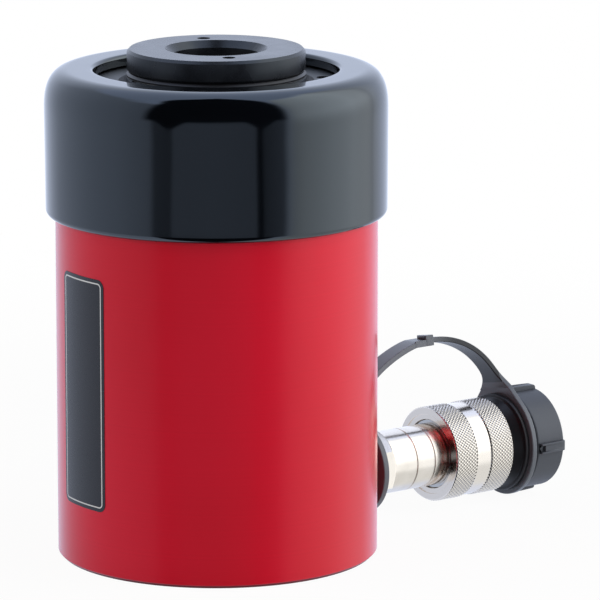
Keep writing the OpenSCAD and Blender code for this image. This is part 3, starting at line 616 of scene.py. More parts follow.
def label_film():
    """Black film with a pale line where the distance from the border equals the inset. That distance is the
    corner's radius, less the way past the corner's centre, or more by the way that is left to it."""
    material, shade = start_finish("label_film")
    where, _ = place(shade)
    past_x = abs(point_value(shade, "across")) - (LABEL_HALF_WIDTH - LABEL_CORNER)
    past_y = abs(point_value(shade, "along")) - (LABEL_HALF_HEIGHT - LABEL_CORNER)
    over_x = past_x.larger(0.0)
    over_y = past_y.larger(0.0)
    beyond = (over_x * over_x + over_y * over_y) ** 0.5
    inner = past_x.larger(past_y).smaller(0.0)
    depth = LABEL_CORNER - beyond - inner
    line = 1 - abs(depth - LINE_INSET).step(LINE_HALF_WIDTH * 0.7, LINE_HALF_WIDTH * 1.3)
    speck = grain(shade, where, 900, 1)
    complete(shade, Base_Color=line.blend(LABEL_BLACK, LABEL_PALE),
             Roughness=0.22 + 0.08 * speck, Normal=bump(shade, speck, 0.006 * MM, 0.5))
    return material


def label_plate():
    """A grid across and along the plate. The half width of a row shrinks near both ends by the quarter
    circle of the corners, and the outermost rows and columns dip into the body."""
    share = np.concatenate([[-1, -1], np.linspace(-0.985, 0.985, 25), [1, 1]])[None, :]
    ends = np.linspace(0, 1, 12) ** 2 * LABEL_CORNER
    lower = np.concatenate([[-LABEL_HALF_HEIGHT], ends - LABEL_HALF_HEIGHT])
    straight = np.linspace(-1, 1, 9)[1:-1] * (LABEL_HALF_HEIGHT - LABEL_CORNER)
    along = np.concatenate([lower, straight, -lower[::-1]])[:, None]
    into_corner = np.clip(np.abs(along) - LABEL_HALF_HEIGHT + LABEL_CORNER, 0, LABEL_CORNER)
    half_width = LABEL_HALF_WIDTH - LABEL_CORNER + np.sqrt(LABEL_CORNER ** 2 - into_corner ** 2)
    across = share * half_width
    lift = np.full(across.shape, LABEL_THICKNESS)
    lift[:, [0, -1]] = LABEL_DIP
    lift[[0, -1], :] = LABEL_DIP
    height = LABEL_LOW + LABEL_HALF_HEIGHT + along
    points = upright(height, body_radius + lift, LABEL_MIDDLE + across / body_radius)
    places = {"across": across, "along": np.broadcast_to(along, across.shape)}
    return make_piece("label_plate", points, grid_quads(*across.shape), label_film(), places)


carry(label_plate(), "cylinder", "black_vinyl")

# %% [markdown]
# ## Nickel on the coupler
#
# The coupler is turned steel with bright nickel plate: a mirror with fine turning lines and a warm tint.
# Metal shows what stands round it, so most of its look comes from the studio. The knurled collar gets a
# second finish, in which the valleys of the knurl and the grooves of its thread are painted darker, as
# painted shade.

# %% Nickel finishes
NICKEL = colour(0.88, 0.80, 0.70)
NICKEL_SHADE = colour(0.80, 0.72, 0.62)
VALLEY_SHADE = colour(0.50, 0.455, 0.385)
TURNING_LINES = 2200
FACE_DEPTH = 0.8 * MM


def turned_nickel():
    """Bright metal with lines along the port axis and a slight haze."""
    material, shade = start_finish("turned_nickel")
    where, (x, _, _) = place(shade)
    marks = lines(shade, x, TURNING_LINES, 3)
    haze = grain(shade, where, 120)
    complete(shade, Base_Color=haze.step(0.35, 0.75).blend(NICKEL, NICKEL_SHADE), Metallic=1.0,
             Roughness=0.17 + 0.10 * haze, Normal=bump(shade, marks, 0.010 * MM, 0.35))
    return material


def knurled_nickel():
    """The same metal, painted darker as shade and rougher where the crest value is low, and brighter on the
    end face.
    """
    material, shade = start_finish("nickel_knurl")
    where, (x, _, _) = place(shade)
    crest = point_value(shade, "crest")
    haze = grain(shade, where, 160)
    marks = lines(shade, x, TURNING_LINES, 3)
    face_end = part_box("coupler_collar")[0].x + FACE_DEPTH
    face = 1 - x.step(face_end - 0.2 * MM, face_end)
    # painted shade: the knurl's valleys and the thread's grooves get a darker colour
    complete(shade, Base_Color=crest.step(0.05, 0.75).blend(VALLEY_SHADE, NICKEL), Metallic=1.0,
             Roughness=(0.14 + 0.12 * haze + 0.12 * (1 - crest)) * (1 - 0.2 * face),
             Normal=bump(shade, marks, 0.008 * MM, 0.3))
    return material


nickel_finish = turned_nickel()
knurl_finish = knurled_nickel()
print("made", nickel_finish.name, knurl_finish.name)

# %% [markdown]
# ## The coupler body
#
# From the body outwards the coupler has a shank, a seat for the strap, a hexagon, a neck with two turned
# grooves, a flange and a nose. All of it is one surface of station and angle: the radius comes from the
# profile, and on the hexagon it also depends on the angle, cut back to a cone at both ends, which draws the
# arcs that a turned chamfer leaves on its flats.

# %% Coupler body
HEX_START = 65.5 * MM
HEX_LENGTH = 6.6 * MM
HEX_FLAT = 11.9 * MM
HEX_STATIONS = 25
HEX_RELIEF = 0.05 * MM
COUPLER_ROUND = 0.16 * MM
COUPLER_COLUMNS = 216
FRONT_CHAMFER = 1.1
BACK_CHAMFER = 1.6
NECK_RADIUS = 11.5 * MM
NECK_END = 105 * MM
FLANGE_RADIUS = 13.3 * MM
FLANGE_END = 107.6 * MM
NOSE_RADIUS = 10 * MM
NOSE_END = 120.5 * MM
SHANK_START = 45.95 * MM
SHANK_RADIUS = 8.55 * MM
SEAT_START = 58.6 * MM
SEAT_RADIUS = 9.4 * MM
GROOVES = [82.1 * MM, 90.3 * MM]
GROOVE_WIDTH = 0.55 * MM
GROOVE_DEPTH = 0.3 * MM
SNAP_GROOVE = 97.7 * MM
SNAP_WIDTH = 1.4 * MM
SNAP_DEPTH = 0.7 * MM
ORING_START = 108.9 * MM
ORING_WIDTH = 2.2 * MM
ORING_DEPTH = 1 * MM
PASSAGE_RADIUS = 3.5 * MM
GUIDE_START = 86.5 * MM
GUIDE_RADIUS = 5.5 * MM
CHAMBER_START = 92 * MM
CHAMBER_RADIUS = 6.5 * MM
CONE_START = 114.5 * MM
CONE_END = 117.5 * MM
NOSE_HOLE = 4.2 * MM


def notch(start, width, radius, depth):
    """Four corners of a square groove."""
    end, floor = start + width, radius - depth
    return [[start, radius], [start, floor], [end, floor], [end, radius]]


def level_rows(start, end, radius, count):
    """Rows of one radius at even stations."""
    return np.stack([np.linspace(start, end, count), np.full(count, radius)], -1)


def coupler_profile():
    """Closed outline of station and radius, outside first and then back through the passage."""
    hex_end = HEX_START + HEX_LENGTH
    outside = [[SHANK_START, SHANK_RADIUS], [SEAT_START, SHANK_RADIUS], [SEAT_START, SEAT_RADIUS],
               [HEX_START, SEAT_RADIUS], [HEX_START, HEX_FLAT], [hex_end, HEX_FLAT], [hex_end, NECK_RADIUS]]
    for start in GROOVES:
        outside += notch(start, GROOVE_WIDTH, NECK_RADIUS, GROOVE_DEPTH)
    outside += notch(SNAP_GROOVE, SNAP_WIDTH, NECK_RADIUS, SNAP_DEPTH)
    outside += [[NECK_END, NECK_RADIUS], [NECK_END, FLANGE_RADIUS], [FLANGE_END, FLANGE_RADIUS],
                [FLANGE_END, NOSE_RADIUS]]
    outside += notch(ORING_START, ORING_WIDTH, NOSE_RADIUS, ORING_DEPTH)
    outside += [[NOSE_END, NOSE_RADIUS], [NOSE_END, NOSE_HOLE], [CONE_END, NOSE_HOLE],
                [CONE_START, CHAMBER_RADIUS], [CHAMBER_START, CHAMBER_RADIUS], [CHAMBER_START, GUIDE_RADIUS],
                [GUIDE_START, GUIDE_RADIUS], [GUIDE_START, PASSAGE_RADIUS], [SHANK_START, PASSAGE_RADIUS]]
    return soften(outside, COUPLER_ROUND)


def hexagon(turn):
    """Radius of a hexagon with a corner at angle 0, as a multiple of its half width over flats."""
    return 1 / np.cos((turn % (math.pi / 3)) - math.pi / 6)


def coupler_piece():
    """The profile turned about the port axis. On the hexagon the radius is the smaller of the hexagon's and
    of the two chamfer cones'."""
    profile = coupler_profile()
    hex_end = HEX_START + HEX_LENGTH
    along_hex = np.abs(profile[:, 0] - (HEX_START + hex_end) / 2) < HEX_LENGTH / 2 + TOUCH
    on_hex = np.flatnonzero(along_hex & (profile[:, 1] > NECK_RADIUS + TOUCH))
    first = on_hex[0]
    hex_rows = level_rows(HEX_START, hex_end, HEX_FLAT, HEX_STATIONS)
    rows = np.concatenate([profile[:first], hex_rows, profile[on_hex[-1] + 1:]])
    station, radius = rows[:, :1], rows[:, 1:]
    turn = full_turn(COUPLER_COLUMNS)
    corner = HEX_FLAT * hexagon(turn)
    front = FRONT_CHAMFER * (hex_end - station)
    back = BACK_CHAMFER * (station - HEX_START)
    cone = HEX_FLAT - HEX_RELIEF + np.maximum(np.minimum(front, back), 0)
    is_hex = np.zeros((len(rows), 1), bool)
    is_hex[first:first + HEX_STATIONS] = True
    radius = np.where(is_hex, np.minimum(corner, cone), radius)
    quads = grid_quads(len(rows), turn.shape[1], close_rows=True, close_columns=True)
    return make_piece("coupler_nipple", on_port_axis(station, radius, turn), quads, nickel_finish)


carry(coupler_piece(), "cylinder", "nickel_plate", "coupler_body")

# %% [markdown]
# ## The knurled collar
#
# A knurl is pressed in by two rollers whose ridges cross, which leaves rows of small pyramids. With the angle
# and the station both counted in pitches, each roller is a triangle wave along their sum or their difference,
# and the lower of the two waves is the surface. The crests are cut flat, as a real knurl's are.

# %% Knurled collar
COLLAR_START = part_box("coupler_collar")[0].x
COLLAR_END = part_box("coupler_collar")[1].x
KNURL_RADIUS = 17.55 * MM
KNURL_COUNT = 80
KNURL_DEPTH = 0.28 * MM
KNURL_STEPS = 6
KNURL_PITCH = 1.5 * MM
KNURL_CREST = 0.6
BAND_START = COLLAR_START + 9.7 * MM
BAND_END = BAND_START + 7 * MM
BAND_DEPTH = 0.45 * MM
COLLAR_EDGE = 0.45 * MM
FACE_STEP = 0.6 * MM
FACE_RADIUS = 14.8 * MM
POCKET_RADIUS = 12.9 * MM
POCKET_END = COLLAR_START + 3 * MM
BEARING_RADIUS = NECK_RADIUS + 0.05 * MM
BEARING_END = POCKET_END + 5.4 * MM
THREAD_RADIUS = 13.9 * MM
CAP_PITCH = 25.4 / 14 * MM
THREAD_DEPTH = 0.7 * MM
THREAD_STEPS = 10
COLLAR_ROUND = 0.2 * MM


def knurl(station, turn):
    """Height of the knurl from 0 in its valleys to 1 on its flat crests."""
    round_it = KNURL_COUNT * turn / (2 * math.pi)
    along = (station - COLLAR_START) / KNURL_PITCH
    one = np.abs(2 * ((round_it + along) % 1) - 1)
    other = np.abs(2 * ((round_it - along) % 1) - 1)
    return np.minimum(1 - one, 1 - other).clip(0, KNURL_CREST) / KNURL_CREST


def knurl_rows(start, end):
    """Stations close enough together to draw the knurl between two ends."""
    count = int(round((end - start) / KNURL_PITCH * KNURL_STEPS)) + 1
    return level_rows(start, end, KNURL_RADIUS, count)


def thread_rows(start, end, radius):
    """Stations close enough together to draw the cap's thread between two ends."""
    return level_rows(start, end, radius, int(abs(end - start) / CAP_PITCH * THREAD_STEPS) + 2)


def marked_rows(parts):
    """Joins pairs of rows and mark to one array of rows and one column of marks."""
    rows = np.concatenate([p for p, _ in parts])
    marks = np.concatenate([np.full(len(p), mark) for p, mark in parts])
    return rows, marks[:, None]


def collar_rows():
    """Outline of the collar as station and radius, with a mark for rows of knurl (1) and thread (2)."""
    band = KNURL_RADIUS - BAND_DEPTH
    face = COLLAR_START + FACE_STEP
    inner = [[BEARING_END, BEARING_RADIUS], [POCKET_END, BEARING_RADIUS], [POCKET_END, POCKET_RADIUS],
             [face, POCKET_RADIUS], [face, FACE_RADIUS], [COLLAR_START, FACE_RADIUS],
             [COLLAR_START, KNURL_RADIUS - COLLAR_EDGE], [COLLAR_START + COLLAR_EDGE, KNURL_RADIUS]]
    corners = soften(inner, COLLAR_ROUND).reshape(len(inner), -1, 2)
    return marked_rows([
        (np.concatenate([inner[:1], corners[1:-1].reshape(-1, 2)]), 0),
        (knurl_rows(COLLAR_START + COLLAR_EDGE, BAND_START), 1),
        ([[BAND_START + BAND_DEPTH, band], [BAND_START + 2 * BAND_DEPTH, band],
          [BAND_END - 2 * BAND_DEPTH, band], [BAND_END - BAND_DEPTH, band]], 0),
        (knurl_rows(BAND_END, COLLAR_END - COLLAR_EDGE), 1),
        ([[COLLAR_END, KNURL_RADIUS - COLLAR_EDGE], [COLLAR_END, THREAD_RADIUS + MM]], 0),
        (thread_rows(COLLAR_END - 0.4 * MM, BEARING_END + MM, THREAD_RADIUS), 2),
        ([[BEARING_END, THREAD_RADIUS]], 0)])


def collar_piece():
    """The outline turned about the port axis, lower in the knurl's valleys, wider in the thread's grooves."""
    rows, marks = collar_rows()
    station, radius = rows[:, :1], rows[:, 1:]
    turn = full_turn(KNURL_COUNT * KNURL_STEPS)
    crest = np.where(marks == 1, knurl(station, turn), 1.0)
    thread = np.where(marks == 2, groove(station / CAP_PITCH + turn / (2 * math.pi)), 0.0)
    points = on_port_axis(station, radius - KNURL_DEPTH * (1 - crest) + THREAD_DEPTH * thread, turn)
    quads = grid_quads(len(rows), turn.shape[1], close_rows=True, close_columns=True)
    # the crest value also carries the painted shade of the knurl's finish
    return make_piece("knurled_collar", points, quads, knurl_finish, {"crest": crest * (1 - 0.5 * thread)})


carry(collar_piece(), "coupler_collar", "knurled_nickel", "coupler_collar")

# %% [markdown]
# ## Slate grey cap and strap
#
# The cap and its strap are moulded in slate grey plastic, dark and satin on the cap, paler and glossier on
# the strap. Moulded plastic is even in colour, so its life comes from a fine spark-eroded texture and from
# rounded edges that catch the light.

# %% Plastic finishes
CAP_SLATE = colour(0.044, 0.049, 0.060)
STRAP_SLATE = colour(0.086, 0.095, 0.110)
PLUG_PAINTED_SHADE = colour(0.008, 0.008, 0.010)
PLUG_END = COLLAR_END + 6.9 * MM
PALER = 1.18


def moulded_slate(name, tint, roughness, depth):
    """Slate grey with a fine grain, and painted shade on the plug and flange inside the strap's ring."""
    material, shade = start_finish(name)
    where, (x, _, _) = place(shade)
    cloud = grain(shade, where, 60)
    texture = grain(shade, where, 2600, 2)
    slate = cloud.step(0.3, 0.7).blend(tint, scaled(tint, PALER))
    # painted shade: the plug and flange beside the strap's ring are coloured near black
    before_end = 1 - x.step(PLUG_END - 0.1 * MM, PLUG_END + 0.1 * MM)
    plug = before_end * x.step(COLLAR_START, COLLAR_END - 10 * MM)
    complete(shade, Base_Color=plug.blend(slate, PLUG_PAINTED_SHADE), Roughness=roughness + 0.08 * cloud,
             Normal=bump(shade, texture, depth, 0.5))
    return material


cap_finish = moulded_slate("moulded_cap", CAP_SLATE, 0.40, 0.02 * MM)
strap_finish = moulded_slate("moulded_strap", STRAP_SLATE, 0.26, 0.02 * MM)
print("made", cap_finish.name, strap_finish.name)

# %% Dust cap
CAP_START = COLLAR_END + 0.3 * MM
CAP_PLUG = CAP_START - 8.4 * MM
CAP_PLUG_RADIUS = 13.85 * MM
CAP_BORE = 10.65 * MM
CAP_FLOOR = NOSE_END + 2.1 * MM
CAP_FLANGE = CAP_START + 4.8 * MM
CAP_CONE_RADIUS = 16.8 * MM
CAP_FLANGE_RADIUS = 18.2 * MM
CAP_GROOVE = CAP_FLANGE + 1.8 * MM
CAP_GROOVE_RADIUS = 15.2 * MM
CAP_BODY = CAP_GROOVE + 3.6 * MM
CAP_RADIUS = 18.5 * MM
CAP_END = CAP_BODY + 12.6 * MM
PLUG_DEPTH = 0.65 * MM
CAP_COLUMNS = 192


def cap_rows():
    """Outline of the cap from its floor to the middle of its end, with a mark on the rows of thread."""
    shell = [[CAP_START, CAP_PLUG_RADIUS], [CAP_FLANGE, CAP_CONE_RADIUS], [CAP_FLANGE, CAP_FLANGE_RADIUS],
             [CAP_GROOVE, CAP_FLANGE_RADIUS], [CAP_GROOVE, CAP_GROOVE_RADIUS], [CAP_BODY, CAP_GROOVE_RADIUS],
             [CAP_BODY, CAP_RADIUS], [CAP_END, CAP_RADIUS], [CAP_END, CAP_GROOVE_RADIUS]]
    setback = np.array([0.1, 0.3, 0.5, 0.5, 0.2, 0.2, 0.9, 0.6, 0.1]) * MM
    rounded = soften(shell, setback).reshape(len(shell), -1, 2)
    return marked_rows([
        ([[CAP_FLOOR, 0], [CAP_FLOOR, CAP_BORE], [CAP_PLUG, CAP_BORE], [CAP_PLUG, CAP_PLUG_RADIUS - MM]], 0),
        (thread_rows(CAP_PLUG + 0.5 * MM, CAP_START - 0.6 * MM, CAP_PLUG_RADIUS), 1),
        (np.concatenate([shell[:1], rounded[1:-1].reshape(-1, 2)]), 0),
        ([[CAP_END, 10 * MM], [CAP_END, 0]], 0)])


def cap_piece():
    """The outline turned about the port axis, with the thread's groove cut into the plug."""
    rows, marks = cap_rows()
    station, radius = rows[:, :1], rows[:, 1:]
    turn = full_turn(CAP_COLUMNS)
    phase = station / CAP_PITCH + turn / (2 * math.pi)
    thread = np.where(marks == 1, groove(phase), 0.0)
    points = on_port_axis(station, radius - PLUG_DEPTH * thread, turn)
    quads = grid_quads(len(rows), turn.shape[1], close_columns=True)
    return make_piece("cap_shell", points, quads, cap_finish)


carry(cap_piece(), "dust_cap", "grey_plastic", "dust_cap")

# %% [markdown]
# ## Grip ribs on the cap
#
# Four raised ribs give the fingers a hold. Each rib is one outline carried along the cap: a flat-topped bar
# with a channel down its middle, which starts as a deep pocket near the strap and runs out to nothing. At
# both ends the outline shrinks to a line at its foot, which closes the surface and rounds the ends.

# %% Grip ribs
RIB_COUNT = 4
RIB_HEIGHT = 1.7 * MM
RIB_WIDTH = 3.8 * MM
CHANNEL_WIDTH = 2 * MM
CHANNEL_DEPTH = 1.5 * MM
RIB_START = CAP_BODY + 0.8 * MM
RIB_LENGTH = CAP_END - 0.3 * MM - RIB_START
RIB_FOOT = CAP_RADIUS - 1.5 * MM
RIB_ROUND = 0.25 * MM
CHANNEL_ROUND = 0.2 * MM


def rib_outline(channel):
    """Across and outward places of a rib's outline, for each depth of the channel."""
    half, top = RIB_WIDTH / 2, CAP_RADIUS + RIB_HEIGHT
    side = CHANNEL_WIDTH / 2
    right = np.array([side, side + CHANNEL_ROUND, half - RIB_ROUND, half, half])
    across = np.concatenate([-right[::-1], right])
    rise = np.array([top, top, top, top - RIB_ROUND, RIB_FOOT])
    out = np.concatenate([rise[::-1], rise])
    in_channel = np.array([0, 0, 0, 0, 1, 1, 0, 0, 0, 0])
    return across[None, :] + 0 * channel, out[None, :] - channel * in_channel


def rib_piece():
    """All ribs as one mesh: the outline at each station, drawn together to its foot at both ends."""
    share = np.array([0, 0, 0.012, 0.04, 0.14, 0.17, 0.5, 0.80, 0.95, 0.98, 1, 1])[:, None]
    open_part = np.array([1, 1, 1, 1, 1, 0.22, 0.14, 0.05, 0, 0, 0, 0])[:, None]
    top_cut = np.array([1.5, 0.3, 0.1, 0, 0, 0, 0.1, 0.25, 0.35, 0.5, 0.9, 1.5])[:, None] * MM
    middle = np.array([0, 1, 1, 1, 1, 1, 1, 1, 1, 1, 1, 0])[:, None]
    across, out = rib_outline(CHANNEL_DEPTH * open_part)
    out = np.maximum(out - top_cut, RIB_FOOT)
    across = across * middle
    station = RIB_START + RIB_LENGTH * share
    turn = 2 * math.pi * np.arange(RIB_COUNT)[:, None, None] / RIB_COUNT
    x = np.broadcast_to(station, across.shape)[None] + 0 * turn
    y = out[None] * np.sin(turn) + across[None] * np.cos(turn)
    z = port_height - out[None] * np.cos(turn) + across[None] * np.sin(turn)
    rows, columns = across.shape
    one = grid_quads(rows, columns, close_columns=True)
    quads = (one[None] + rows * columns * np.arange(RIB_COUNT)[:, None, None]).reshape(-1, 4)
    return make_piece("cap_ribs", np.stack([x, y, z], -1), quads, cap_finish)


carry(rib_piece(), "dust_cap", "grey_plastic")

# %% [markdown]
# ## The strap
#
# Two strap halves meet in a loop above the coupler. Each half is a ribbon along a smooth curve, which widens
# towards a flat ring: one ring sits behind the hexagon, the other turns in the cap's groove. The ring is an
# outline turned about the port axis, whose outer radius grows near the top until it meets the ribbon.

# %% Strap plane and sizes
buckle_low, buckle_high = (np.array(corner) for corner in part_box("strap_buckle"))
buckle_middle = (buckle_low + buckle_high) / 2
strap_lean = math.atan2(buckle_middle[1], buckle_middle[2] - port_height)
strap_top = math.hypot(buckle_middle[1], buckle_middle[2] - port_height)
STRAP_HALF_WIDTH = 4 * MM
STRAP_HALF_THICKNESS = MM
NECK_RING = dict(station=63.85 * MM, inner=9.45 * MM, outer=17 * MM, thickness=2.5 * MM, slant=0.0)
CAP_RING = dict(station=(CAP_GROOVE + CAP_BODY) / 2, inner=15.25 * MM, outer=20 * MM, thickness=2.2 * MM,
                slant=0.035)
NEAR_TAIL = math.radians(47)
FAR_TAIL = math.radians(45)
TAIL_BLEND = 1.2 * MM
STEEPEST = 1.2
RING_ROUND = 0.5 * MM
RING_COLUMNS = 240
RIBBON_ROUND = 0.36
LOOP_END = buckle_high[0] + 0.3 * MM
NECK_DROP = 0.45 * MM
NECK_TILT = math.radians(4)


def in_strap_plane(station, side, height, tilt=strap_lean):
    """Points in the plane of the arch, which leans about the port axis; its width may tilt differently."""
    y = side * math.cos(tilt) + height * math.sin(strap_lean)
    z = port_height + height * math.cos(strap_lean) - side * math.sin(tilt)
    return np.stack(np.broadcast_arrays(station, y, z), -1)


print("strap leans", round(math.degrees(strap_lean), 1), "degrees, top at", round(strap_top, 4))

# %% Strap shapes
def ring_edge(outer, turn):
    """Outer radius of a ring: a circle, and near the top the two tangents that lead to the ribbon."""
    from_top = ((turn + strap_lean) % (2 * math.pi)) - math.pi
    off_top = np.abs(from_top)
    tail = np.where(from_top > 0, NEAR_TAIL, FAR_TAIL)
    tangent = outer / np.cos(np.minimum(np.abs(off_top - tail), STEEPEST))
    flat = outer / np.cos(np.minimum(off_top, STEEPEST))
    return np.where(off_top < tail, np.minimum(tangent, flat), outer)


def strap_ring(ring):
    """A rounded rectangle between two radii, turned about the port axis."""
    width, half = ring["outer"] - ring["inner"], ring["thickness"] / 2
    section = soften([[0, -half], [width, -half], [width, half], [0, half]], RING_ROUND)
    turn = full_turn(RING_COLUMNS)
    share = section[:, :1] / width
    radius = ring["inner"] + share * (ring_edge(ring["outer"], turn) - ring["inner"])
    points = on_port_axis(ring["station"] + section[:, 1:], radius, turn)
    points[..., 0] += ring["slant"] * points[..., 1]
    return points.reshape(-1, 3), grid_quads(len(section), turn.shape[1], close_rows=True, close_columns=True)


def ribbon(path, near_width, far_width, tilt):
    """Rounded rectangle carried along a path of station and height; its ends shrink to the middle line."""
    step = np.gradient(path, axis=0)
    step = step / np.linalg.norm(step, axis=1, keepdims=True)
    twice = np.arange(-1, len(path) + 1).clip(0, len(path) - 1)
    path, step = path[twice], step[twice]
    near_width, far_width = near_width[twice, None], far_width[twice, None]
    normal = np.stack([-step[:, 1], step[:, 0]], -1)
    unit = soften([[-1, -1], [1, -1], [1, 1], [-1, 1]], RIBBON_ROUND)[None]
    ends = np.ones((len(path), 1))
    ends[[0, -1]] = 0
    inset = STRAP_HALF_THICKNESS * (1 - np.abs(unit[..., 0]))
    half_width = np.where(unit[..., 0] < 0, near_width, far_width)
    side = np.sign(unit[..., 0]) * (half_width - inset) * ends
    through = STRAP_HALF_THICKNESS * unit[..., 1] * ends
    height = path[:, 1:] + normal[:, 1:] * through
    points = in_strap_plane(path[:, :1] + normal[:, :1] * through, side, height, tilt)
    return points.reshape(-1, 3), grid_quads(len(path), unit.shape[1], close_columns=True)


def widen(path, ring, angle):
    """Half width of a ribbon: the strap's own, and near its ring the tangent of the ring's tail. The step
    from one to the other is the soft maximum, a logarithm of a sum of powers."""
    foot = ring["outer"] * math.tan(angle / 2)
    tail = foot - (path[:, 1] - ring["outer"]) / math.tan(angle)
    return STRAP_HALF_WIDTH + TAIL_BLEND * np.log1p(np.exp((tail - STRAP_HALF_WIDTH) / TAIL_BLEND))


def strap_shapes(name, shapes):
    """One piece of several shapes, each a pair of points and quads."""
    first = np.cumsum([0] + [len(points) for points, _ in shapes])
    points = np.concatenate([points for points, _ in shapes])
    quads = np.concatenate([quads + start for (_, quads), start in zip(shapes, first)])
    return make_piece(name, points, quads, strap_finish)


def strap_piece(name, path, ring, tilt):
    """A ring and the ribbon that leaves it."""
    band = ribbon(path, widen(path, ring, NEAR_TAIL), widen(path, ring, FAR_TAIL), tilt)
    return strap_shapes(name, [strap_ring(ring), band])


# %% Strap halves
NECK_RISE = 0.66
NECK_RUN = 0.1
CAP_RUN = 0.43
CAP_REACH = 0.86
CAP_DROP = 0.33
SUNK = 0.7 * MM
CURVE_STEPS = 56

neck_foot = np.array([NECK_RING["station"], NECK_RING["outer"]])
neck_top = np.array([buckle_low[0], strap_top - NECK_DROP])
neck_span = neck_top - neck_foot
neck_curve = bezier(neck_foot, neck_foot + neck_span * [0, NECK_RISE],
                    neck_top - neck_span * [NECK_RUN, 0], neck_top, CURVE_STEPS)
neck_path = np.concatenate([[neck_foot - [0, SUNK]], neck_curve, [neck_top + [5 * MM, 0]]])
carry(strap_piece("neck_strap_band", neck_path, NECK_RING, NECK_TILT), "cylinder", "grey_strap", "neck_strap")

cap_foot = np.array([CAP_RING["station"], CAP_RING["outer"]])
cap_top = np.array([buckle_high[0], strap_top])
cap_span = cap_foot - cap_top
cap_curve = bezier(cap_top, cap_top + cap_span * [CAP_RUN, 0],
                   cap_top + cap_span * [CAP_REACH, CAP_DROP], cap_foot, CURVE_STEPS)
cap_path = np.concatenate([[[LOOP_END - 1.4 * MM, strap_top]], cap_curve, [cap_foot - [0, SUNK]]])
cap_band = strap_piece("cap_strap_band", cap_path, CAP_RING, strap_lean)
tuple(in_strap_plane(cap_top[0] + 0.5 * MM, 0, strap_top))
tuple(in_strap_plane(cap_foot[0] - 2 * MM, 0, cap_foot[1] + 4 * MM))
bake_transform(cap_band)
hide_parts("cap_strap")

# %% [markdown]
# ## The loop at the top of the strap
#
# The neck's half ends in a shallow tray with a loop over its last part, and the cap's half slides into it.
# Its walls are thin bars with rounded edges, so one function makes a bar, and a list says where each lies.

# %% Strap loop
LOOP_START = buckle_low[0] + 3.6 * MM
TRAY_START = buckle_low[0] - 1.5 * MM
LOOP_SKEW = 0.25
LOOP_HALF_WIDTH = 4.1 * MM
LOOP_HALF_HEIGHT = 2 * MM
LOOP_WALL = 0.55 * MM
BAR_ROUND = 0.2 * MM
HAIR = 0.05 * MM


def bar(start, end, sides, heights, skew=0.0):
    """A rounded bar along the strap. Its start slants with the skew; both ends are drawn to their middle."""
    (near, far), (low, high) = sides, heights
    section = soften([[near, low], [far, low], [far, high], [near, high]], BAR_ROUND)
    middle = section.mean(0)
    size = np.array([0, 0.9, 1, 1, 0.9, 0])[:, None, None]
    spread = middle + size * (section[None] - middle)
    begin = start + skew * (spread[..., 0] - near)
    share = np.array([0, 0, 0.04, 0.96, 1, 1])[:, None]
    station = begin + share * (end - begin)
    points = in_strap_plane(station, spread[..., 0], strap_top + spread[..., 1])
    return points.reshape(-1, 3), grid_quads(6, len(section), close_columns=True)


def loop_piece():
    """The end of the neck's half: a tray whose last part is closed over by a roof, so the other half slides
    in from the right, and a slanted mouth stays open on the left."""
    wide, tall, wall = LOOP_HALF_WIDTH, LOOP_HALF_HEIGHT, LOOP_WALL
    slim = wide - HAIR
    edge = STRAP_HALF_WIDTH + 0.03 * MM
    bars = [bar(TRAY_START, LOOP_END - 2 * HAIR, (-slim, slim), (-tall, -tall + wall)),
            bar(TRAY_START, LOOP_START + MM, (-edge, wall - edge), (HAIR - tall, NECK_DROP)),
            bar(TRAY_START, LOOP_END - MM, (slim - wall, slim), (HAIR - tall, -MM)),
            bar(LOOP_START, LOOP_END, (-wide, -wide + wall), (-tall, tall)),
            bar(LOOP_START + 2 * LOOP_SKEW * wide, LOOP_END, (wide - wall, wide), (-tall, tall)),
            bar(LOOP_END - 1.3 * MM, LOOP_END - HAIR, (-slim, slim), (HAIR - tall, tall - HAIR)),
            bar(LOOP_START, LOOP_END - HAIR, (-slim, slim), (tall - wall, tall), LOOP_SKEW)]
    return strap_shapes("strap_loop", bars)


carry(loop_piece(), "cylinder", "grey_strap", "strap_buckle")

# %% [markdown]
# ## Springs inside
#
# The return spring works between the piston and the gland nut, and a small one keeps the coupler's valve
# shut. A spring is a round wire along a rising circle. Its first and last turns lie flat and are ground,
# which here is only a limit on the height of every point.

# %% Springs
SPRING_STEEL = colour(0.16, 0.165, 0.175)
SPRING_SCALE = colour(0.25, 0.245, 0.24)
COIL_STEPS = 48
WIRE_STEPS = 24
DEAD_TURNS = 0.75


def oiled_spring():
    """Dark spring steel with patches of scale."""
    material, shade = start_finish("oiled_spring")
    where, _ = place(shade)
    scale = grain(shade, where, 300)
    complete(shade, Base_Color=scale.step(0.3, 0.7).blend(SPRING_STEEL, SPRING_SCALE), Metallic=1.0,
             Roughness=0.32 + 0.2 * scale, Normal=bump(shade, scale, 0.02 * MM, 0.4))
    return material


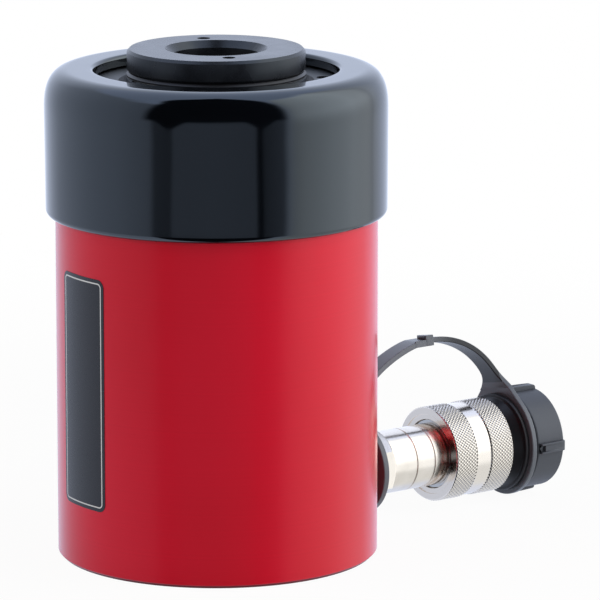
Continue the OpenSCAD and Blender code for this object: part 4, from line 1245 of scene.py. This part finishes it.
def coil(mean_radius, wire, turns, length):
    """Points round a wire wound with dead flat turns at both ends, ground flat there. Its height rises by one
    wire a turn on the dead turns, and evenly between them. Both ends are drawn to the wire's middle."""
    turn = np.linspace(0, turns, int(turns * COIL_STEPS))[:, None]
    dead_rise = wire / 4 + wire * DEAD_TURNS
    active = (length - 2 * dead_rise) / (turns - 2 * DEAD_TURNS)
    first = wire / 4 + wire * turn
    last = length - wire / 4 - wire * (turns - turn)
    middle = dead_rise + active * (turn - DEAD_TURNS)
    height = np.where(turn < DEAD_TURNS, first, np.where(turns - turn < DEAD_TURNS, last, middle))
    round_wire = full_turn(WIRE_STEPS)
    half_wire = np.full_like(turn, wire / 2)
    half_wire[[0, -1]] = 0
    radius = mean_radius + half_wire * np.cos(round_wire)
    rise = np.clip(height + half_wire * np.sin(round_wire), 0, length)
    angle = 2 * math.pi * turn
    return radius * np.cos(angle), radius * np.sin(angle), rise


def spring_piece(name, x, y, z):
    """A coil whose three grids of coordinates are given."""
    return make_piece(name, np.stack([x, y, z], -1), grid_quads(*x.shape, close_columns=True), spring_finish)


spring_finish = oiled_spring()
seat, gland = (corner.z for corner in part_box("return_spring"))
across, back, rise = coil(36.375 * MM, 7 * MM, 5.5, gland - seat)
spring = spring_piece("return_coil", across, back, seat + rise)
carry(spring, "cylinder", "spring_steel", "return_spring")
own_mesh(spring)

guide, head = (corner.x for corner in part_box("poppet_spring"))
across, back, rise = coil(3.9 * MM, MM, 7, head - guide)
poppet_coil = spring_piece("poppet_coil", guide + rise, back, port_height - across)
carry(poppet_coil, "cylinder", "spring_steel", "poppet_spring")
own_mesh(poppet_coil)

# %% [markdown]
# ## Finishes for the pieces that stay
#
# Rings, seals, the saddle and the gland nut are right as the frame has them. They only need finishes: black
# oxide with the clouds that the hot bath leaves, hard chrome, phosphated steel, rubber, and the polymers of
# the seals.

# %% Steel finishes
CHROME = colour(0.66, 0.67, 0.69)
UNDER_SADDLE_SHADE = colour(0.012, 0.012, 0.014)
TRAVEL_LINES = 3000
DARKER = 0.88
PLUNGER_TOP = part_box("plunger")[1].z


def black_oxide(name, dark, light, roughness):
    """Blackened steel: cloudy patches, and the rings that a facing tool leaves round the axis."""
    material, shade = start_finish(name)
    where, (x, y, z) = place(shade)
    radius = (x * x + y * y) ** 0.5
    cloud = grain(shade, where, 85, 4)
    rings = lines(shade, radius, 1800) + 0.6 * lines(shade, z, 1500)
    complete(shade, Base_Color=cloud.step(0.35, 0.7).blend(dark, light), Roughness=roughness + 0.14 * cloud,
             Specular_Tint=COLD_GLOSS,
             Normal=bump(shade, rings + 0.4 * cloud, 0.012 * MM, 0.4))
    return material


def bright_steel(name, tint, roughness, along_z=True):
    """Polished metal with fine lines along its travel."""
    material, shade = start_finish(name)
    where, (x, _, z) = place(shade)
    marks = lines(shade, z if along_z else x, TRAVEL_LINES, 3)
    haze = grain(shade, where, 90)
    complete(shade, Base_Color=haze.step(0.2, 0.9).blend(tint, scaled(tint, DARKER)),
             Metallic=1.0, Roughness=roughness + 0.08 * haze, Normal=bump(shade, marks, 0.006 * MM, 0.3))
    return material


def plunger_chrome():
    """Hard chrome up to the plunger's top edge; the last 1.5 mm under the saddle, with its face, is painted
    dark as painted shade.
    """
    material, shade = start_finish("hard_chrome")
    where, (_, _, z) = place(shade)
    marks = lines(shade, z, TRAVEL_LINES, 3)
    haze = grain(shade, where, 90)
    # painted shade: the band just under the saddle is coloured dark and not metallic
    bare = z.step(PLUNGER_TOP - 1.5 * MM, PLUNGER_TOP - 1.3 * MM)
    complete(shade, Base_Color=bare.blend(CHROME, UNDER_SADDLE_SHADE), Metallic=1 - bare,
             Roughness=0.06 + 0.06 * haze + 0.3 * bare, Normal=bump(shade, marks, 0.006 * MM, 0.3))
    return material


def soft_part(name, dark, light, roughness):
    """Rubber or polymer with a fine grain."""
    material, shade = start_finish(name)
    where, _ = place(shade)
    cloud = grain(shade, where, 350, 3)
    complete(shade, Base_Color=cloud.step(0.3, 0.7).blend(dark, light), Roughness=roughness + 0.1 * cloud,
             Normal=bump(shade, cloud, 0.02 * MM, 0.4))
    return material


saddle_finish = black_oxide("black_oxide", colour(0.009, 0.010, 0.013), colour(0.020, 0.022, 0.027), 0.20)
gland_finish = black_oxide("phosphated_steel", colour(0.020, 0.021, 0.023), colour(0.040, 0.041, 0.044), 0.36)
chrome_finish = plunger_chrome()
tube_finish = bright_steel("honed_tube", colour(0.50, 0.505, 0.51), 0.2)
pin_finish = bright_steel("plated_pin", colour(0.62, 0.61, 0.59), 0.16, along_z=False)
brass_finish = bright_steel("turned_brass", colour(0.66, 0.46, 0.17), 0.2, along_z=False)
rubber_finish = soft_part("black_rubber", colour(0.003, 0.003, 0.004), colour(0.006, 0.006, 0.007), 0.62)
wear_finish = soft_part("wear_composite", colour(0.19, 0.085, 0.035), colour(0.26, 0.13, 0.06), 0.55)
seal_finish = soft_part("seal_polymer", colour(0.02, 0.13, 0.15), colour(0.03, 0.17, 0.19), 0.4)
backup_finish = soft_part("backup_polymer", colour(0.62, 0.60, 0.52), colour(0.70, 0.68, 0.60), 0.45)

# %% Dress the nodes that stay
FINISH_OF = {
    "saddle": saddle_finish, "gland_nut": gland_finish, "plunger": chrome_finish, "centre_tube": tube_finish,
    "valve_poppet": pin_finish, "valve_guide": brass_finish, "collar_snap_ring": pin_finish,
    "tube_clip": gland_finish, "wiper_ring": rubber_finish, "tube_oring": rubber_finish,
    "coupler_oring": rubber_finish, "gland_wear_ring": wear_finish, "piston_wear_ring": wear_finish,
    "tube_wear_ring": wear_finish, "piston_seal": seal_finish, "tube_seal": seal_finish,
    "piston_backup_ring": backup_finish, "tube_backup_ring": backup_finish}
for node_name, finish in FINISH_OF.items():
    for slot in nodes[node_name].material_slots:
        slot.material = finish
print("dressed", len(FINISH_OF), "frame nodes")

# %% [markdown]
# ## The studio in the reflections
#
# Gloss shows what stands round an object, and here that is a studio: a dark camera side with one paler
# opening, a tall softbox on the right, and white everywhere else. Cards and screens could be modelled for
# this. It is simpler to let the world answer reflected rays by their direction: a ramp over the bearing,
# counted from the camera's side to the right, and a few bands of elevation. All are in degrees, and each
# band's edge is a pair: where it starts and where it is complete. The camera itself still sees plain white.

# %% World
WORLD_FILL = 0.35
BRIGHTEST = 2.0
OVERHEAD = 1.05
FLOOR_WHITE = 0.85
TALL_BOX = 0.45
COOL = colour(0.95, 1.0, 1.06)
BLUE = colour(0.88, 0.98, 1.22)
OVERHEAD_BLUE = colour(0.82, 0.95, 1.30)
WHITE = colour(1, 1, 1)
BEARINGS = [(-180, 1.15), (-150, 1.0), (-130, 0.78), (-106, 0.72), (-90, 0.66), (-69, 0.59), (-50, 0.46),
            (-45, 0.41), (-41, 0.14), (-30, 0.11), (-28, 0.26), (0, 0.26), (27, 0.23), (28.5, 0.01),
            (31, 0.01), (33, 0.11), (46, 0.19), (51, 0.72), (62, 1.0), (85, 1.3), (105, 1.4), (122, 1.1),
            (127, 0.93), (129, 0.82), (131, 0.82), (133, 0.92), (150, 1.0), (180, 1.15)]
BOX_NEAR = (46, 58)
BOX_FAR = (120, 150)
BOX_FOOT = (-8, 12)
BOX_TALLER = 16
ASIDE = (44, 52)
CORNER_NEAR = (18, 31)
CORNER_FAR = (31, 43)
CORNER_DROP = 10
CEILING_EDGE = (40, 48)
HOOD_EDGE = (1, 7)
SILL_TOP = (-17, -14)
SILL_SIDE = (38, 44)
FLOOR_EDGE = (-30, -18)
DEGREES = 180 / math.pi


def studio_level(sky):
    """Brightness and tint that a reflected ray meets. The brightness is the ramp over the bearing, more up on
    the softbox, black above and below the camera's side, bright overhead elsewhere, and the floor's white far
    below. The camera side's black hangs lower at its corners, which rounds the paler opening in it."""
    x, y, z = axes(sky.node("ShaderNodeTexCoord"))
    front = x * float(towards_camera[0]) + y * float(towards_camera[1])
    side = x * float(to_the_right[0]) + y * float(to_the_right[1])
    bearing = sky.math("ARCTAN2", side, front) * DEGREES
    level = sky.math("ARCSINE", z) * DEGREES
    stops = [(0.5 + angle / 360, value / BRIGHTEST) for angle, value in BEARINGS]
    ring = sky.node("ShaderNodeValToRGB", {"stops": stops}, {0: bearing * (1 / 360) + 0.5}) * BRIGHTEST
    box = bearing.step(*BOX_NEAR) * (1 - bearing.step(*BOX_FAR))
    off = abs(bearing)
    aside = off.step(*ASIDE)
    corner = off.step(*CORNER_NEAR) * (1 - off.step(*CORNER_FAR))
    high = (level - BOX_TALLER * box).step(*CEILING_EDGE) * aside
    hood = (level + CORNER_DROP * corner).step(*HOOD_EDGE) * (1 - aside)
    sill = (1 - level.step(*SILL_TOP)) * (1 - off.step(*SILL_SIDE))
    low = 1 - level.step(*FLOOR_EDGE)
    ring = ring * (1 + TALL_BOX * box * level.step(*BOX_FOOT))
    seen = (ring * (1 - high) + OVERHEAD * high) * (1 - hood)
    tint = high.blend(box.blend(BLUE, COOL), OVERHEAD_BLUE)
    return (seen * (1 - low) + FLOOR_WHITE * low) * (1 - sill), tint


def make_world():
    """White for the camera, the studio for reflected rays, and an even fill for the rest."""
    world = bpy.data.worlds.new("studio")
    bpy.context.scene.world = world
    world.use_nodes = True
    world.node_tree.nodes.clear()
    sky = Shade(world.node_tree)
    glossy = ray_is(sky, "Glossy")
    direct = seen_directly(sky)
    seen, tint = studio_level(sky)
    strength = direct + (1 - direct) * (glossy * seen + (1 - glossy) * WORLD_FILL)
    backdrop = sky.node("ShaderNodeBackground",
                        values={"Color": glossy.blend(WHITE, tint), "Strength": strength})
    sky.node("ShaderNodeOutputWorld", values={"Surface": backdrop})


make_world()
print("world with", len(BEARINGS), "stops of bearing")

# %% [markdown]
# ## Floor and lamps
#
# The object stands on a white sweep, which glows for the camera only and keeps a soft contact shadow.
# Reflections take the floor from the world, so the floor leaves them alone. Two upright softboxes light the
# sides, the right one brighter, as the paint shows. They cast light and shadows only.

# %% Floor
FLOOR_SIZE = 9
FLOOR_GLOW_NEAR = 0.95
FLOOR_PALE = colour(0.86, 0.86, 0.86)
GLOW_START = 0.20
GLOW_END = 0.60


def sweep_finish():
    """White floor that glows for the camera, more so away from the object, and holds its shadow near it."""
    material, shade = start_finish("white_sweep")
    _, (x, y, _) = place(shade)
    away = ((x * x + y * y) ** 0.5).step(GLOW_START, GLOW_END)
    glow = seen_directly(shade) * (FLOOR_GLOW_NEAR + (1 - FLOOR_GLOW_NEAR) * away)
    matt = shade.node("ShaderNodeBsdfDiffuse", values={"Color": FLOOR_PALE})
    light = shade.node("ShaderNodeEmission", values={"Color": WHITE, "Strength": 1.0})
    surface = shade.node("ShaderNodeMixShader", values={0: glow, 1: matt, 2: light})
    shade.node("ShaderNodeOutputMaterial", values={"Surface": surface})
    return material


def make_floor():
    """One large quad at the ground."""
    corners = np.array([[[-1, -1, 0], [1, -1, 0]], [[-1, 1, 0], [1, 1, 0]]], float) * FLOOR_SIZE
    mesh = bpy.data.meshes.new("floor")
    mesh.from_pydata(corners.reshape(-1, 3).tolist(), [], grid_quads(2, 2).tolist())
    mesh.materials.append(sweep_finish())
    floor = bpy.data.objects.new("floor", mesh)
    floor.visible_glossy = False
    bpy.context.scene.collection.objects.link(floor)


make_floor()
print("floor", 2 * FLOOR_SIZE, "metres wide")

# %% Softboxes
def softbox(name, bearing, distance, width, height, middle, brightness):
    """An upright lamp at a bearing from the camera's side, positive to the right. Power is brightness times
    pi times its area, which makes its face that bright."""
    lamp = bpy.data.lights.new(name, "AREA")
    lamp.shape = "RECTANGLE"
    lamp.size = width
    lamp.size_y = height
    lamp.energy = brightness * math.pi * width * height
    holder = bpy.data.objects.new(name, lamp)
    angle = math.radians(bearing)
    direction = math.cos(angle) * towards_camera + math.sin(angle) * to_the_right
    holder.location = Vector(distance * direction + np.array([0, 0, middle]))
    holder.rotation_euler = Vector(-direction).to_track_quat("-Z", "Y").to_euler()
    holder.visible_camera = False
    holder.visible_glossy = False
    bpy.context.scene.collection.objects.link(holder)
    print(name, "power", round(lamp.energy, 2))


softbox("right_box", bearing=77, distance=0.75, width=0.62, height=0.9, middle=0.46, brightness=3.7)
softbox("left_box", bearing=-72, distance=1.1, width=0.7, height=0.9, middle=0.5, brightness=2.9)
